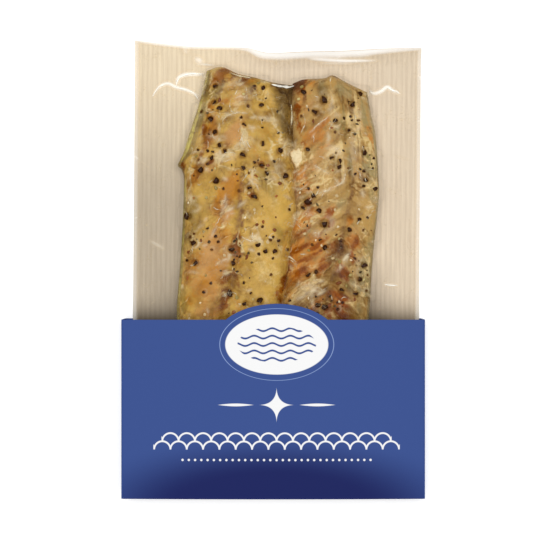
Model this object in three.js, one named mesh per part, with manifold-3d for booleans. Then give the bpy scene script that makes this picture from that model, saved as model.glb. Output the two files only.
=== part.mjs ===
// Two peppered smoked mackerel fillets, vacuum packed on a kraft-look back sheet, with a card sleeve round
// the tail half. The pack lies on its back. Millimetres, +Z up, +Y towards the head ends of the fillets,
// origin on the table under the back sheet, near the middle of the pack.
import * as THREE from "three";
import { mergeVertices } from "three/addons/utils/BufferGeometryUtils.js";
import Module from "manifold-3d";

const wasm = await Module();
wasm.setup();

// Driving sizes
const contactGap = 0.3; // clear space between pieces that lie on each other

const sleeve = {
  width: 160.5,
  footY: -123.2,
  length: 94.5,
  depth: 20,
  card: 0.6,
  foldRadius: 1.5,
  crown: 1.5, // how far the front panel bows up in its middle
  crownSteps: 20,
  foldSteps: 4,
};
const sleeveTopY = sleeve.footY + sleeve.length;
const ovalTab = { x: 1.9, y: -41.7, halfWidth: 33.8, halfHeight: 21.4, steps: 72 };

const backSheet = {
  width: 155,
  thickness: 0.6,
  footY: -116,
  offsetX: 1.2, // the pouch sits a little to the right in its sleeve
  turn: THREE.MathUtils.degToRad(-0.45),
  pivotY: -75,
  // The top edge, as [x, y] from the left corner to the right one
  topEdge: [[-77.5, 121.2], [-48, 118.2], [-18, 117.5], [-6, 114.6], [14, 115], [36, 115.7], [56, 117.1],
    [77.5, 118.2]],
  // How far the top edge curls up off the table, as [x, height]
  curl: [[-77.5, 1], [-30, 0.8], [-8, 2.8], [15, 4.5], [45, 4], [77.5, 2]],
  curlLength: 11,
};

// Fillets. Outlines are [y, x] pairs from the tail to the head, and the head end is [x, y] pairs.
const leftFillet = {
  shoulder: 3.6, // a higher power gives a squarer shoulder across the fillet
  tail: -108,
  headMean: 102,
  head: [[-36, 105], [-28, 107.1], [-19, 103.4], [-9, 101.1], [0, 98.6], [13, 96.8]],
  outer: [[-108, -31], [-90, -38.5], [-60, -47], [-29, -51.8], [0, -50], [25, -48.6], [45, -48.2],
    [49.5, -49.4], [51.5, -51.4], [54, -50.4], [58, -48.4], [68, -45.3], [86, -39.5], [102, -35.8]],
  inner: [[-108, -11], [-90, -5], [-60, 0], [-29, 5.5], [-6, 9], [17, 11.8], [30, 14], [45, 13], [68, 12.3],
    [89, 11.6], [102, 11.4]],
  line: [[-108, -21], [-29, -24], [2, -20.5], [30, -18], [60, -16], [86, -12.5], [102, -9]],
  height: [[-108, 5.5], [-70, 10], [-29, 13], [10, 14.6], [60, 14.8], [90, 13.2], [102, 12.4]],
};
const rightFillet = {
  shoulder: 5,
  tail: -106,
  headMean: 99,
  head: [[9, 97.6], [16.6, 100.3], [28, 101], [32, 102.6], [38, 99.5], [45, 96], [51, 93.3]],
  outer: [[-106, 31], [-90, 37], [-60, 45], [-29, 51.2], [0, 53.2], [20, 55], [41, 57.1], [53, 56.8],
    [66, 56], [77, 55], [86, 53], [99, 50.8]],
  inner: [[-106, 13], [-90, 8], [-60, 4], [-29, 2.2], [-6, 5.8], [17, 8.8], [30, 11.4], [45, 10.2],
    [68, 9.8], [89, 9.2], [99, 10.6]],
  line: [[-106, 22], [-29, 28], [-12, 30.5], [9, 35], [30, 40], [45, 42.5], [68, 42.3], [86, 38.5], [99, 33.5]],
  height: [[-106, 5.5], [-70, 9.5], [-29, 12.4], [10, 13.6], [60, 14], [90, 12.6], [99, 11.8]],
};
const filletShape = {
  rounding: 2.3,
  endRounding: 8, // length over which the head and tail ends round down
  grooveDepth: 0.9,
  grooveWidth: 3.2,
  flakePitch: 13,
  flakeDepth: 0.55,
  swell: 0.5,
};
// The film's height where it leaves a fillet's side, and how it runs out on the back sheet
const film = { edgeHeight: 2.4, skirt: 3, toe: 0.35 };
const lobeRows = 50;
const lobeColumns = 17;

// Cracked peppercorns: the largest by hand, and the others by a rule
const pepper = {
  count: 128,
  tries: 9000,
  largest: 1.1, // of those placed by the rule
  smallest: 0.6,
  spacing: 3, // least distance between two pieces, in radii of the larger
  fromY: -26,
  toY: 100,
  edgeShare: 0.93,
  driftShare: 0.5, // of the pieces that lie in drifts, and not evenly
  driftSpread: 8,
  sunk: 0.28,
  seed: 1867,
};
const pepperDrifts = [[-34, 58], [-7, 50], [-42, 14], [-3, 11], [-20, 2], [23, 36], [51, 54], [39, 77],
  [46, -2], [28, 8], [31, -20]];
// The largest pieces, as [x, y, radius]
const largePepper = [
  [-30.8, 95.6, 1.1], [-31.3, 86.7, 1.1], [-28.6, 83.4, 1.2], [-33.5, 77.7, 1.4], [-30.8, 70.6, 1.1],
  [-28.2, 63.5, 1.2], [-25.8, 60.8, 1.1], [-15.4, 74.8, 1.1], [-6.3, 85, 1.1], [-5.5, 94.7, 1.1],
  [-5.4, 64.6, 1.1], [-16, 58.6, 1.5], [3.5, 61.1, 1.3], [-5.9, 53.1, 1.1], [-32.8, 57.1, 1.1],
  [-38.8, 51, 1.6], [-30.6, 45.1, 1.6], [-16, 51.8, 1.2], [-3.4, 48.9, 1.1], [6.6, 47.3, 1.4],
  [-12.5, 41.1, 1.1], [-9.6, 36.4, 1.6], [-45.7, 26.2, 1.6], [-42.3, 11.6, 1.2], [-22.3, 8.5, 1.4],
  [-41.2, 1.2, 1.4], [-21.5, 1, 1.2], [-8, 11, 1.2], [-3.9, 7.7, 1.2], [1, 7.2, 1.2], [-23.5, -15.1, 1.9],
  [-14.9, -20.2, 1.3], [-6.9, -18.9, 1.5], [27, 88, 1.7], [16.3, 92.1, 1.3], [22.3, 81.5, 1.4],
  [46.4, 91.6, 1.2], [42.5, 85.8, 1.5], [33.1, 76.8, 1.1], [39.8, 71.7, 1.1], [18.2, 61.5, 1.1],
  [31.3, 57.2, 1.1], [35.7, 55.4, 1.1], [35.1, 52.5, 1.1], [48.6, 60.1, 1.2], [49.5, 45.6, 1.1],
  [54, 40.9, 1.4], [21.8, 36.8, 1.3], [18.6, 33.9, 1.6], [16.2, 30.5, 1.1], [24.3, 28.8, 1.2],
  [27, 22.2, 1.9], [45.7, 24.1, 1.1], [40.6, 18.8, 1.1], [27.8, 9.2, 1.2], [18.8, -5.1, 1.1],
  [23.1, -3.5, 1.1], [48.4, -0.2, 1.6], [46, -7.4, 1.1], [36.6, -13.1, 1.1], [43.9, -15.1, 1.2],
  [23.9, -20.9, 1.2], [27.4, -21.9, 1.6],
];

const kraft = new THREE.MeshStandardMaterial({ color: 0xe0cdb2, roughness: 0.55, metalness: 0 });
const smokedFish = new THREE.MeshStandardMaterial({ color: 0xb98f4f, roughness: 0.35, metalness: 0 });
const blueCard = new THREE.MeshStandardMaterial({ color: 0x3e5694, roughness: 0.4, metalness: 0 });

const smooth = THREE.MathUtils.smoothstep;
const blend = THREE.MathUtils.lerp;
const clamp = THREE.MathUtils.clamp;

// The value at t on a smooth curve through [position, value] pairs.
function through(pairs, t) {
  const last = pairs.length - 1;
  if (t <= pairs[0][0]) return pairs[0][1];
  if (t >= pairs[last][0]) return pairs[last][1];
  const i = pairs.findIndex((pair, n) => n < last && t <= pairs[n + 1][0]);
  const slopeAt = (n) => {
    const before = pairs[Math.max(n - 1, 0)];
    const after = pairs[Math.min(n + 1, last)];
    return (after[1] - before[1]) / (after[0] - before[0]);
  };
  const step = pairs[i + 1][0] - pairs[i][0];
  const f = (t - pairs[i][0]) / step;
  const ends = blend(pairs[i][1], pairs[i + 1][1], f * f * (3 - 2 * f));
  return ends + step * f * (1 - f) * ((1 - f) * slopeAt(i) - f * slopeAt(i + 1));
}

// Repeatable random numbers from 0 to 1.
function randomFrom(seed) {
  let state = seed;
  return () => {
    state = (state + 0x6d2b79f5) | 0;
    let t = Math.imul(state ^ (state >>> 15), 1 | state);
    t = (t + Math.imul(t ^ (t >>> 7), 61 | t)) ^ t;
    return ((t ^ (t >>> 14)) >>> 0) / 4294967296;
  };
}

function solidFrom(geometry) {
  const bare = geometry.index ? geometry.toNonIndexed() : geometry.clone();
  bare.deleteAttribute("normal");
  bare.deleteAttribute("uv");
  const merged = mergeVertices(bare, 1e-4);
  const mesh = new wasm.Mesh({
    numProp: 3,
    vertProperties: new Float32Array(merged.attributes.position.array),
    triVerts: new Uint32Array(merged.index.array),
  });
  return new wasm.Manifold(mesh);
}

function geometryFrom(solid) {
  const mesh = solid.getMesh();
  const geometry = new THREE.BufferGeometry();
  geometry.setAttribute("position", new THREE.BufferAttribute(new Float32Array(mesh.vertProperties), 3));
  geometry.setIndex(new THREE.BufferAttribute(new Uint32Array(mesh.triVerts), 1));
  geometry.computeVertexNormals();
  return geometry;
}

function named(name, geometry, material) {
  const mesh = new THREE.Mesh(geometry, material);
  mesh.name = name;
  return mesh;
}

// A closed slab between two grids of points, upper and lower, of rows by columns.
function slabBetween(upper, lower) {
  const rows = upper.length;
  const columns = upper[0].length;
  const positions = [...upper.flat(), ...lower.flat()].flat();
  const top = (r, c) => r * columns + c;
  const bottom = (r, c) => rows * columns + r * columns + c;
  const index = [];
  const quad = (a, b, c, d) => index.push(a, b, c, a, c, d);
  for (let r = 0; r < rows - 1; r++)
    for (let c = 0; c < columns - 1; c++) {
      quad(top(r, c), top(r, c + 1), top(r + 1, c + 1), top(r + 1, c));
      quad(bottom(r, c), bottom(r + 1, c), bottom(r + 1, c + 1), bottom(r, c + 1));
    }
  for (let c = 0; c < columns - 1; c++) {
    quad(top(0, c), bottom(0, c), bottom(0, c + 1), top(0, c + 1));
    quad(top(rows - 1, c), top(rows - 1, c + 1), bottom(rows - 1, c + 1), bottom(rows - 1, c));
  }
  for (let r = 0; r < rows - 1; r++) {
    quad(top(r, 0), top(r + 1, 0), bottom(r + 1, 0), bottom(r, 0));
    quad(top(r, columns - 1), bottom(r, columns - 1), bottom(r + 1, columns - 1), top(r + 1, columns - 1));
  }
  const geometry = new THREE.BufferGeometry();
  geometry.setAttribute("position", new THREE.Float32BufferAttribute(positions, 3));
  geometry.setIndex(index);
  return geometry;
}

// Height of the pouch's underside: on the sleeve's back panel, and down on the table above the sleeve.
function restHeight(y) {
  return (sleeve.card + contactGap) * (1 - smooth(y, sleeveTopY + 2, sleeveTopY + 20));
}

// Back sheet: flat, with its top edge curled up
function makeBackSheet() {
  const { width, thickness, footY, topEdge, curl, curlLength } = backSheet;
  const flatRows = [footY, sleeveTopY, sleeveTopY + 2, sleeveTopY + 8, sleeveTopY + 14, sleeveTopY + 20, 90];
  const curlRows = 7;
  const columns = 18;
  const upper = [];
  const lower = [];
  for (let r = 0; r < flatRows.length + curlRows; r++) {
    upper.push([]);
    lower.push([]);
    for (let c = 0; c <= columns; c++) {
      const x = (c / columns - 0.5) * width;
      const edgeY = through(topEdge, x);
      const share = Math.max(0, (r - flatRows.length + 1) / curlRows);
      const y = r < flatRows.length ? flatRows[r] : blend(edgeY - curlLength, edgeY, share);
      const lift = through(curl, x) * share * share;
      const rise = (2 * through(curl, x) * share) / curlLength; // slope of the curl, which tips the edge
      const z = restHeight(y) + lift;
      lower[r].push([x, y, z]);
      upper[r].push([x, y - thickness * rise, z + thickness]);
    }
  }
  const geometry = slabBetween(upper, lower);
  const mesh = named("back_sheet", geometryFrom(solidFrom(geometry).simplify(0.002)), kraft);
  geometry.dispose();
  return mesh;
}

// Where (x, y) lies in a fillet: how far across, from -1 at the outer edge to 1 at the inner one, the place
// along it that the outlines go by, and the distance from the nearer end.
function placeIn(fillet, x, y) {
  const headY = through(fillet.head, x);
  const along = (y - fillet.tail) / (headY - fillet.tail);
  const stationY = blend(fillet.tail, fillet.headMean, along);
  const outerX = through(fillet.outer, stationY);
  const innerX = through(fillet.inner, stationY);
  const across = (2 * (x - outerX)) / (innerX - outerX) - 1;
  const fromEnd = Math.min(y - fillet.tail, headY - y);
  return { across, stationY, fromEnd };
}

// Flakes of the muscle, as shallow chevrons that point to the tail along the lateral line, and soft swellings.
function flesh(fillet, x, y, stationY) {
  const fromLine = x - through(fillet.line, stationY);
  const chevron = (y + 0.7 * Math.abs(fromLine)) / filletShape.flakePitch + 0.25 * Math.sin(0.17 * x);
  const flake = chevron - Math.floor(chevron);
  const step = Math.sin(Math.PI * flake) ** 0.7 - 0.6;
  const groove = Math.exp(-((fromLine / filletShape.grooveWidth) ** 2));
  const swell = Math.sin(0.13 * x + 0.05 * y) * Math.sin(0.09 * y - 0.04 * x + 1);
  return filletShape.flakeDepth * step + filletShape.swell * swell - filletShape.grooveDepth * groove;
}

// Height of a fillet in its film above the back sheet, or 0 outside it.
function filletHeight(fillet, x, y) {
  const { across, stationY, fromEnd } = placeIn(fillet, x, y);
  if (Math.abs(across) > 1 || fromEnd < 0) return 0;
  const side = (1 - Math.abs(across) ** fillet.shoulder) ** (1 / filletShape.rounding);
  const near = clamp(fromEnd / filletShape.endRounding, 0, 1);
  const end = (1 - (1 - near) ** 2.5) ** 0.5;
  const full = through(fillet.height, stationY) + flesh(fillet, x, y, stationY);
  return film.edgeHeight + (full - film.edgeHeight) * side * end;
}

const pouchFloor = backSheet.thickness + contactGap;

// One fillet in its film, as a solid with a thin skirt of film where the film reaches the back sheet.
function filletInFilm(fillet) {
  const upper = [];
  const lower = [];
  for (let r = -1; r <= lobeRows + 1; r++) {
    const along = clamp(r / lobeRows, 0, 1);
    // Rows lie closer together near both ends, where the fillet rounds down
    const eased = along - 0.1 * Math.sin(2 * Math.PI * along);
    const stationY = blend(fillet.tail, fillet.headMean, eased);
    const outerX = through(fillet.outer, stationY);
    const innerX = through(fillet.inner, stationY);
    const outwards = Math.sign(outerX - innerX);
    const pastEnd = r < 0 ? -film.skirt : r > lobeRows ? film.skirt : 0;
    upper.push([]);
    lower.push([]);
    for (let c = -1; c <= lobeColumns + 1; c++) {
      const across = -Math.cos((Math.PI * clamp(c, 0, lobeColumns)) / lobeColumns);
      const pastSide = c < 0 ? outwards * film.skirt : c > lobeColumns ? -outwards * film.skirt : 0;
      const x = blend(outerX, innerX, (across + 1) / 2);
      const y = blend(fillet.tail, through(fillet.head, x), eased);
      const skirt = pastEnd !== 0 || pastSide !== 0;
      const inside = Math.max(film.edgeHeight, filletHeight(fillet, x, y));
      const floor = restHeight(y + pastEnd) + pouchFloor;
      lower[lower.length - 1].push([x + pastSide, y + pastEnd, floor]);
      upper[upper.length - 1].push([x + pastSide, y + pastEnd, floor + (skirt ? film.toe : inside)]);
    }
  }
  const facesDown = through(fillet.outer, 0) > through(fillet.inner, 0);
  if (facesDown) [upper, lower].forEach((grid) => grid.forEach((row) => row.reverse()));
  return solidFrom(slabBetween(upper, lower));
}

const fillets = [leftFillet, rightFillet];

function surfaceAt(x, y) {
  return Math.max(...fillets.map((fillet) => filletHeight(fillet, x, y)));
}

// Places for the peppercorns: the largest, then seeded draws, some in drifts and the rest spread evenly.
function pepperPlaces() {
  const random = randomFrom(pepper.seed);
  const turned = (x, y, radius) => ({ x, y, radius, turns: [random(), random(), random()] });
  const places = largePepper.map(([x, y, radius]) => turned(x, y, radius));
  for (let n = 0; n < pepper.tries && places.length < pepper.count; n++) {
    const inDrift = random() < pepper.driftShare;
    const drift = pepperDrifts[Math.floor(random() * pepperDrifts.length)];
    const radius = blend(pepper.largest, pepper.smallest, (places.length / pepper.count) ** 0.7);
    const spreadX = (random() + random() - 1) * pepper.driftSpread;
    const spreadY = (random() + random() - 1) * pepper.driftSpread;
    const x = inDrift ? drift[0] + spreadX : blend(-52, 58, random());
    const y = inDrift ? drift[1] + spreadY : blend(pepper.fromY, pepper.toY, random());
    const onFillet = fillets.some((fillet) => {
      const place = placeIn(fillet, x, y);
      return Math.abs(place.across) < pepper.edgeShare && place.fromEnd > 4;
    });
    const inRange = y > pepper.fromY && y < pepper.toY;
    const least = (other) => pepper.spacing * Math.max(other.radius, radius);
    const clear = places.every((other) => Math.hypot(other.x - x, other.y - y) > least(other));
    if (onFillet && inRange && clear) places.push(turned(x, y, radius));
  }
  return places;
}

function peppercorn({ x, y, radius, turns }) {
  const piece = new THREE.IcosahedronGeometry(radius, 0);
  piece.scale(1, blend(0.75, 1, turns[0]), blend(0.6, 0.8, turns[1]));
  const angles = turns.map((turn) => turn * Math.PI * 2);
  const lean = 0.1;
  const turn = new THREE.Euler(angles[0] * lean, angles[1] * lean, angles[2]);
  piece.applyMatrix4(new THREE.Matrix4().makeRotationFromEuler(turn));
  piece.translate(x, y, restHeight(y) + pouchFloor + surfaceAt(x, y) - radius * pepper.sunk);
  return solidFrom(piece);
}

function makeFilledPouch() {
  const lobes = fillets.map(filletInFilm);
  let pouch = lobes[0].add(lobes[1]).simplify(0.02);
  pouch = wasm.Manifold.union([pouch, ...pepperPlaces().map(peppercorn)]);
  return named("filled_pouch", geometryFrom(pouch), smokedFish);
}

// Half of the sleeve's section, inset by the given distance, as points from the back panel round to the crown.
function sleeveSection(inset) {
  const half = sleeve.width / 2 - inset;
  const radius = sleeve.foldRadius - inset;
  const shape = new THREE.Shape();
  shape.moveTo(-half + radius, inset);
  shape.lineTo(half - radius, inset);
  shape.absarc(half - radius, inset + radius, radius, -Math.PI / 2, 0, false);
  shape.absarc(half - radius, sleeve.depth - inset - radius, radius, 0, Math.PI / 2, false);
  for (let i = 1; i < sleeve.crownSteps; i++) {
    const x = blend(half - radius, -half + radius, i / sleeve.crownSteps);
    const bow = 1 - (x / (half - radius)) ** 2;
    shape.lineTo(x, sleeve.depth - inset + sleeve.crown * bow);
  }
  shape.absarc(-half + radius, sleeve.depth - inset - radius, radius, Math.PI / 2, Math.PI, false);
  shape.absarc(-half + radius, inset + radius, radius, Math.PI, Math.PI * 1.5, false);
  return shape;
}

// A length of the sleeve's tube, from topY down.
function sleeveTube(topY, length) {
  const section = sleeveSection(0);
  section.holes.push(new THREE.Path(sleeveSection(sleeve.card).getPoints(sleeve.foldSteps)));
  const settings = { depth: length, bevelEnabled: false, curveSegments: sleeve.foldSteps };
  const tube = new THREE.ExtrudeGeometry(section, settings);
  tube.rotateX(Math.PI / 2);
  tube.translate(0, topY, 0);
  return solidFrom(tube);
}

// The sleeve, with an oval of the front panel that stands up past its top edge.
function makeSleeve() {
  const reach = 1;
  const tabTopY = ovalTab.y + ovalTab.halfHeight;
  const oval = new THREE.CylinderGeometry(1, 1, sleeve.depth, ovalTab.steps);
  oval.rotateX(Math.PI / 2);
  oval.scale(ovalTab.halfWidth, ovalTab.halfHeight, 1);
  oval.translate(ovalTab.x, ovalTab.y, sleeve.depth);
  const tabStrip = sleeveTube(tabTopY + reach, tabTopY + reach * 2 - sleeveTopY);
  const tab = tabStrip.intersect(solidFrom(oval));
  const card = sleeveTube(sleeveTopY, sleeve.length).add(tab);
  return named("card_sleeve", geometryFrom(card), blueCard);
}

const pack = new THREE.Group();
const pouchBack = makeBackSheet();
pouchBack.rotation.z = backSheet.turn;
pouchBack.position.set(
  backSheet.offsetX + backSheet.pivotY * Math.sin(backSheet.turn),
  backSheet.pivotY * (1 - Math.cos(backSheet.turn)),
  0,
);
pack.add(pouchBack, makeFilledPouch(), makeSleeve());

export default pack;
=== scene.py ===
import math

import bpy
import numpy as np
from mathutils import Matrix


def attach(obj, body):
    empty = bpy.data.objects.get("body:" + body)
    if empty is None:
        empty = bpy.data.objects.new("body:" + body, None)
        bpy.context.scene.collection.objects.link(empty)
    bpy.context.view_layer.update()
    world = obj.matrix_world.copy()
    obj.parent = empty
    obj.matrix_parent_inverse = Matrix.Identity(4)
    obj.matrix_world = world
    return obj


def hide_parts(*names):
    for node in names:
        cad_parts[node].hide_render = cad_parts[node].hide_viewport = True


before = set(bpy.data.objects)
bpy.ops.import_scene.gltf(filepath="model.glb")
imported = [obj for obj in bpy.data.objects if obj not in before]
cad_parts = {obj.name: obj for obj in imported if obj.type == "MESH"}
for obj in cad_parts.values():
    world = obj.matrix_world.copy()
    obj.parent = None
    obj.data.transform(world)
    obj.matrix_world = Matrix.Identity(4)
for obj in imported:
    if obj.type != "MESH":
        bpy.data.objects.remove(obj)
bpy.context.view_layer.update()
print("frame loaded:", ", ".join(sorted(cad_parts)))

# Lengths are in millimetres until a mesh gets its points. +Y points to the head ends of the fillets, +Z up.
mm = 0.001
pack = {"gap": 0.3}  # between the sleeve, the sheet and the pouch


# Small tools

def pickOnly(piece=None):
    if bpy.context.object and bpy.context.object.mode != "OBJECT":
        bpy.ops.object.mode_set(mode="OBJECT")
    bpy.ops.object.select_all(action="DESELECT")
    if piece:
        piece.select_set(True)
        bpy.context.view_layer.objects.active = piece


def addGrid(name, columns, rows):  # and how far each of its points is across and along, from 0 to 1
    pickOnly()
    bpy.ops.mesh.primitive_grid_add(x_subdivisions=columns, y_subdivisions=rows, size=1)
    piece = bpy.context.object
    piece.name = name
    piece.data.name = name
    across, along = (readPoints(piece)[:, :2] + 0.5).T
    return piece, across, along


def readPoints(piece):
    points = np.empty(len(piece.data.vertices) * 3, np.float32)
    piece.data.vertices.foreach_get("co", points)
    return points.reshape(-1, 3).astype(float)


def writePoints(piece, *axes):  # x, y and z in millimetres
    points = np.stack(np.broadcast_arrays(*axes), axis=1) * mm
    piece.data.vertices.foreach_set("co", points.astype(np.float32).ravel())
    piece.data.update()


def setMask(piece, name, values):
    layer = piece.data.attributes.new(name, "FLOAT", "POINT")
    layer.data.foreach_set("value", np.clip(values, 0, 1).astype(np.float32))


def applyModifier(piece, kind, **settings):
    pickOnly(piece)
    modifier = piece.modifiers.new(kind.lower(), kind)
    for key, value in settings.items():
        setattr(modifier, key, value)
    bpy.ops.object.modifier_apply(modifier=modifier.name)


def facesOutwards(piece):
    pickOnly(piece)
    bpy.ops.object.mode_set(mode="EDIT")
    bpy.ops.mesh.select_all(action="SELECT")
    bpy.ops.mesh.remove_doubles(threshold=0.00001)
    bpy.ops.mesh.normals_make_consistent(inside=False)
    bpy.ops.object.mode_set(mode="OBJECT")


def smoothShade(piece, degrees=None):
    pickOnly(piece)
    if degrees is None:
        bpy.ops.object.shade_smooth()
    else:
        bpy.ops.object.shade_smooth_by_angle(angle=math.radians(degrees))


def linkNew(name, data):
    made = bpy.data.objects.new(name, data)
    bpy.context.scene.collection.objects.link(made)
    return made


def handIn(piece, slotName, node, *materials):  # each piece rides on the pack and stands for one solid
    piece.data.materials.clear()
    for material in materials:
        piece.data.materials.append(material)
    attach(piece, "root")
    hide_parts(node)
    print("made", piece.name, "with", len(piece.data.polygons), "faces")


def blend(a, b, share):
    return a + (b - a) * share


def turned(x, y, angle):
    return x * math.cos(angle) - y * math.sin(angle), x * math.sin(angle) + y * math.cos(angle)


def ramp(value, low, high):  # 0 below low, 1 above high, smooth between
    share = np.clip((value - low) / (high - low), 0, 1)
    return share * share * (3 - 2 * share)


def through(pairs, t):  # the value at t on a smooth curve through (place, value) pairs
    places, values = np.array(pairs, float).T
    last = len(places) - 1
    before = np.maximum(np.arange(last + 1) - 1, 0)
    after = np.minimum(np.arange(last + 1) + 1, last)
    slopes = (values[after] - values[before]) / (places[after] - places[before])
    t = np.clip(t, places[0], places[-1])
    i = np.clip(np.searchsorted(places, t, side="left") - 1, 0, last - 1)
    step = places[i + 1] - places[i]
    f = (t - places[i]) / step
    ends = blend(values[i], values[i + 1], f * f * (3 - 2 * f))
    return ends + step * f * (1 - f) * ((1 - f) * slopes[i] - f * slopes[i + 1])


def softNoise(x, y, size, seed):  # from -1 to 1, with bumps about one size apart
    lattice = np.random.default_rng(seed).random((64, 64)) * 2 - 1
    columns, rows = np.floor(x / size).astype(int), np.floor(y / size).astype(int)
    fx, fy = x / size - columns, y / size - rows
    fx, fy = fx * fx * (3 - 2 * fx), fy * fy * (3 - 2 * fy)
    low = blend(lattice[columns % 64, rows % 64], lattice[(columns + 1) % 64, rows % 64], fx)
    high = blend(lattice[columns % 64, (rows + 1) % 64], lattice[(columns + 1) % 64, (rows + 1) % 64], fx)
    return blend(low, high, fy)


def layeredNoise(x, y, size, seed, layers=4):
    total = 0
    for n in range(layers):
        total = total + softNoise(x + 31 * n, y - 17 * n, size / 2 ** n, seed + n) / 2 ** n
    return total / 1.6


# Node tools

def srgb(*values):  # a colour picked as 0 to 255 on a screen
    shares = [value / 255 for value in values]
    return [((share + 0.055) / 1.055) ** 2.4 if share > 10 / 255 else share / 12.92 for share in shares] + [1]


def addNode(tree, kind, inputs=(), **settings):
    made = tree.nodes.new(kind)
    for key, value in settings.items():
        setattr(made, key, value)
    for key, value in dict(inputs).items():
        if isinstance(value, bpy.types.NodeSocket):
            tree.links.new(value, made.inputs[key])
        else:
            made.inputs[key].default_value = value
    return made


def treeOf(values):  # of the first one that is a node's socket
    return next(value.id_data for value in values if isinstance(value, bpy.types.NodeSocket))


def calc(operation, *values, clamp=False):
    inputs = dict(enumerate(values))
    return addNode(treeOf(values), "ShaderNodeMath", inputs, operation=operation, use_clamp=clamp).outputs[0]


def plus(a, b):
    return calc("ADD", a, b)


def minus(a, b):
    return calc("SUBTRACT", a, b)


def times(first, *others):
    for other in others:
        first = calc("MULTIPLY", first, other)
    return first


def plusTimes(base, value, factor):
    return calc("MULTIPLY_ADD", value, factor, base)


def unsigned(value):
    return calc("ABSOLUTE", value)


def highest(a, b):
    return calc("MAXIMUM", a, b)


def mixColour(factor, a, b, mode="MIX"):
    tree = treeOf((factor, a, b))
    inputs = {"Factor": factor, 6: a, 7: b}
    return addNode(tree, "ShaderNodeMix", inputs, data_type="RGBA", blend_type=mode).outputs[2]


def shaded(colour, shade):
    return mixColour(1.0, colour, shade, "MULTIPLY")


def noise(place, scale, detail=3.0, roughness=0.5, distortion=0.0):
    inputs = {"Vector": place, "Scale": scale, "Detail": detail, "Roughness": roughness}
    inputs["Distortion"] = distortion
    return addNode(place.id_data, "ShaderNodeTexNoise", inputs).outputs["Fac"]


def softStep(value, low, high):
    inputs = {"Value": value, "From Min": low, "From Max": high}
    made = addNode(value.id_data, "ShaderNodeMapRange", inputs, interpolation_type="SMOOTHSTEP")
    return made.outputs["Result"]


def mask(tree, name):
    return addNode(tree, "ShaderNodeAttribute", attribute_name=name).outputs["Fac"]


def objectPlace(tree):
    return addNode(tree, "ShaderNodeTexCoord").outputs["Object"]


def placeInMillimetres(tree):
    place = addNode(tree, "ShaderNodeSeparateXYZ", {0: objectPlace(tree)}).outputs
    return [times(axis, 1 / mm) for axis in place]


def newMaterial(name, **settings):
    material = bpy.data.materials.new(name)
    material.use_nodes = True
    tree = material.node_tree
    shader = tree.nodes["Principled BSDF"]
    for key, value in settings.items():
        shader.inputs[key.replace("_", " ")].default_value = value
    return material, tree, shader


def feed(shader, **sockets):
    for key, socket in sockets.items():
        shader.id_data.links.new(socket, shader.inputs[key.replace("_", " ")])


def bump(height, strength, distance):
    inputs = {"Height": height, "Strength": strength, "Distance": distance * mm}
    return addNode(height.id_data, "ShaderNodeBump", inputs).outputs["Normal"]


def newGroup(name, inputs, outputs):
    group = bpy.data.node_groups.new(name, "ShaderNodeTree")
    for socketName, kind in inputs.items():
        group.interface.new_socket(name=socketName, in_out="INPUT", socket_type="NodeSocket" + kind)
    for socketName, kind in outputs.items():
        group.interface.new_socket(name=socketName, in_out="OUTPUT", socket_type="NodeSocket" + kind)
    start = group.nodes.new("NodeGroupInput").outputs
    end = group.nodes.new("NodeGroupOutput").inputs
    return group, start, end


def useGroup(tree, group, **inputs):
    return addNode(tree, "ShaderNodeGroup", inputs, node_tree=group).outputs


# Fine grain that the paper, the card, the flake and the pepper share
def makeGrainGroup():
    outputs = {"Shade": "Float", "Height": "Float"}
    group, start, end = newGroup("fineGrain", {"Scale": "Float", "Contrast": "Float"}, outputs)
    coarse = noise(objectPlace(group), start["Scale"], 4, 0.6)
    fine = noise(objectPlace(group), times(start["Scale"], 4.3), 2, 0.5)
    height = plusTimes(times(coarse, 0.6), fine, 0.4)
    group.links.new(plus(times(minus(height, 0.5), start["Contrast"]), 1.0), end["Shade"])
    group.links.new(height, end["Height"])
    return group


fineGrain = makeGrainGroup()


def grainFinish(shader, colour, scale, contrast, strength, depth):
    grain = useGroup(shader.id_data, fineGrain, Scale=scale, Contrast=contrast)
    feed(shader, Base_Color=shaded(colour, grain["Shade"]), Normal=bump(grain["Height"], strength, depth))


# Card sleeve

sleeve = {
    "width": 160.5,
    "footY": -123.2,
    "length": 94.5,
    "depth": 20,
    "card": 0.6,
    "foldRadius": 1.5,
    "crown": 1.5,  # how far the front panel bows up in its middle
    "rows": 48,
    "ovalX": 1.9,
    "ovalY": -41.7,
    "tabHalfWidth": 33.8,
    "tabHalfHeight": 21.4,
    "ringHalfWidth": 30,
    "ringHalfHeight": 18.9,
    "fieldHalfWidth": 27.1,
    "fieldHalfHeight": 15.8,
    "blue": (60, 84, 148),
    "navy": (26, 36, 96),
    "ring": (178, 202, 246),
    "white": (252, 252, 252),
    "board": (214, 210, 200),
}
footY = sleeve["footY"]
sleeveTopY = footY + sleeve["length"]


def crownHeight(x):
    flatHalf = sleeve["width"] / 2 - sleeve["foldRadius"]
    return sleeve["depth"] + sleeve["crown"] * (1 - np.minimum(np.abs(x) / flatHalf, 1) ** 2)


def cornerArc(x, z, start, steps=8):
    angles = np.radians(np.linspace(start, start + 90, steps + 1))
    return [(x + sleeve["foldRadius"] * math.cos(a), z + sleeve["foldRadius"] * math.sin(a)) for a in angles]


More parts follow.
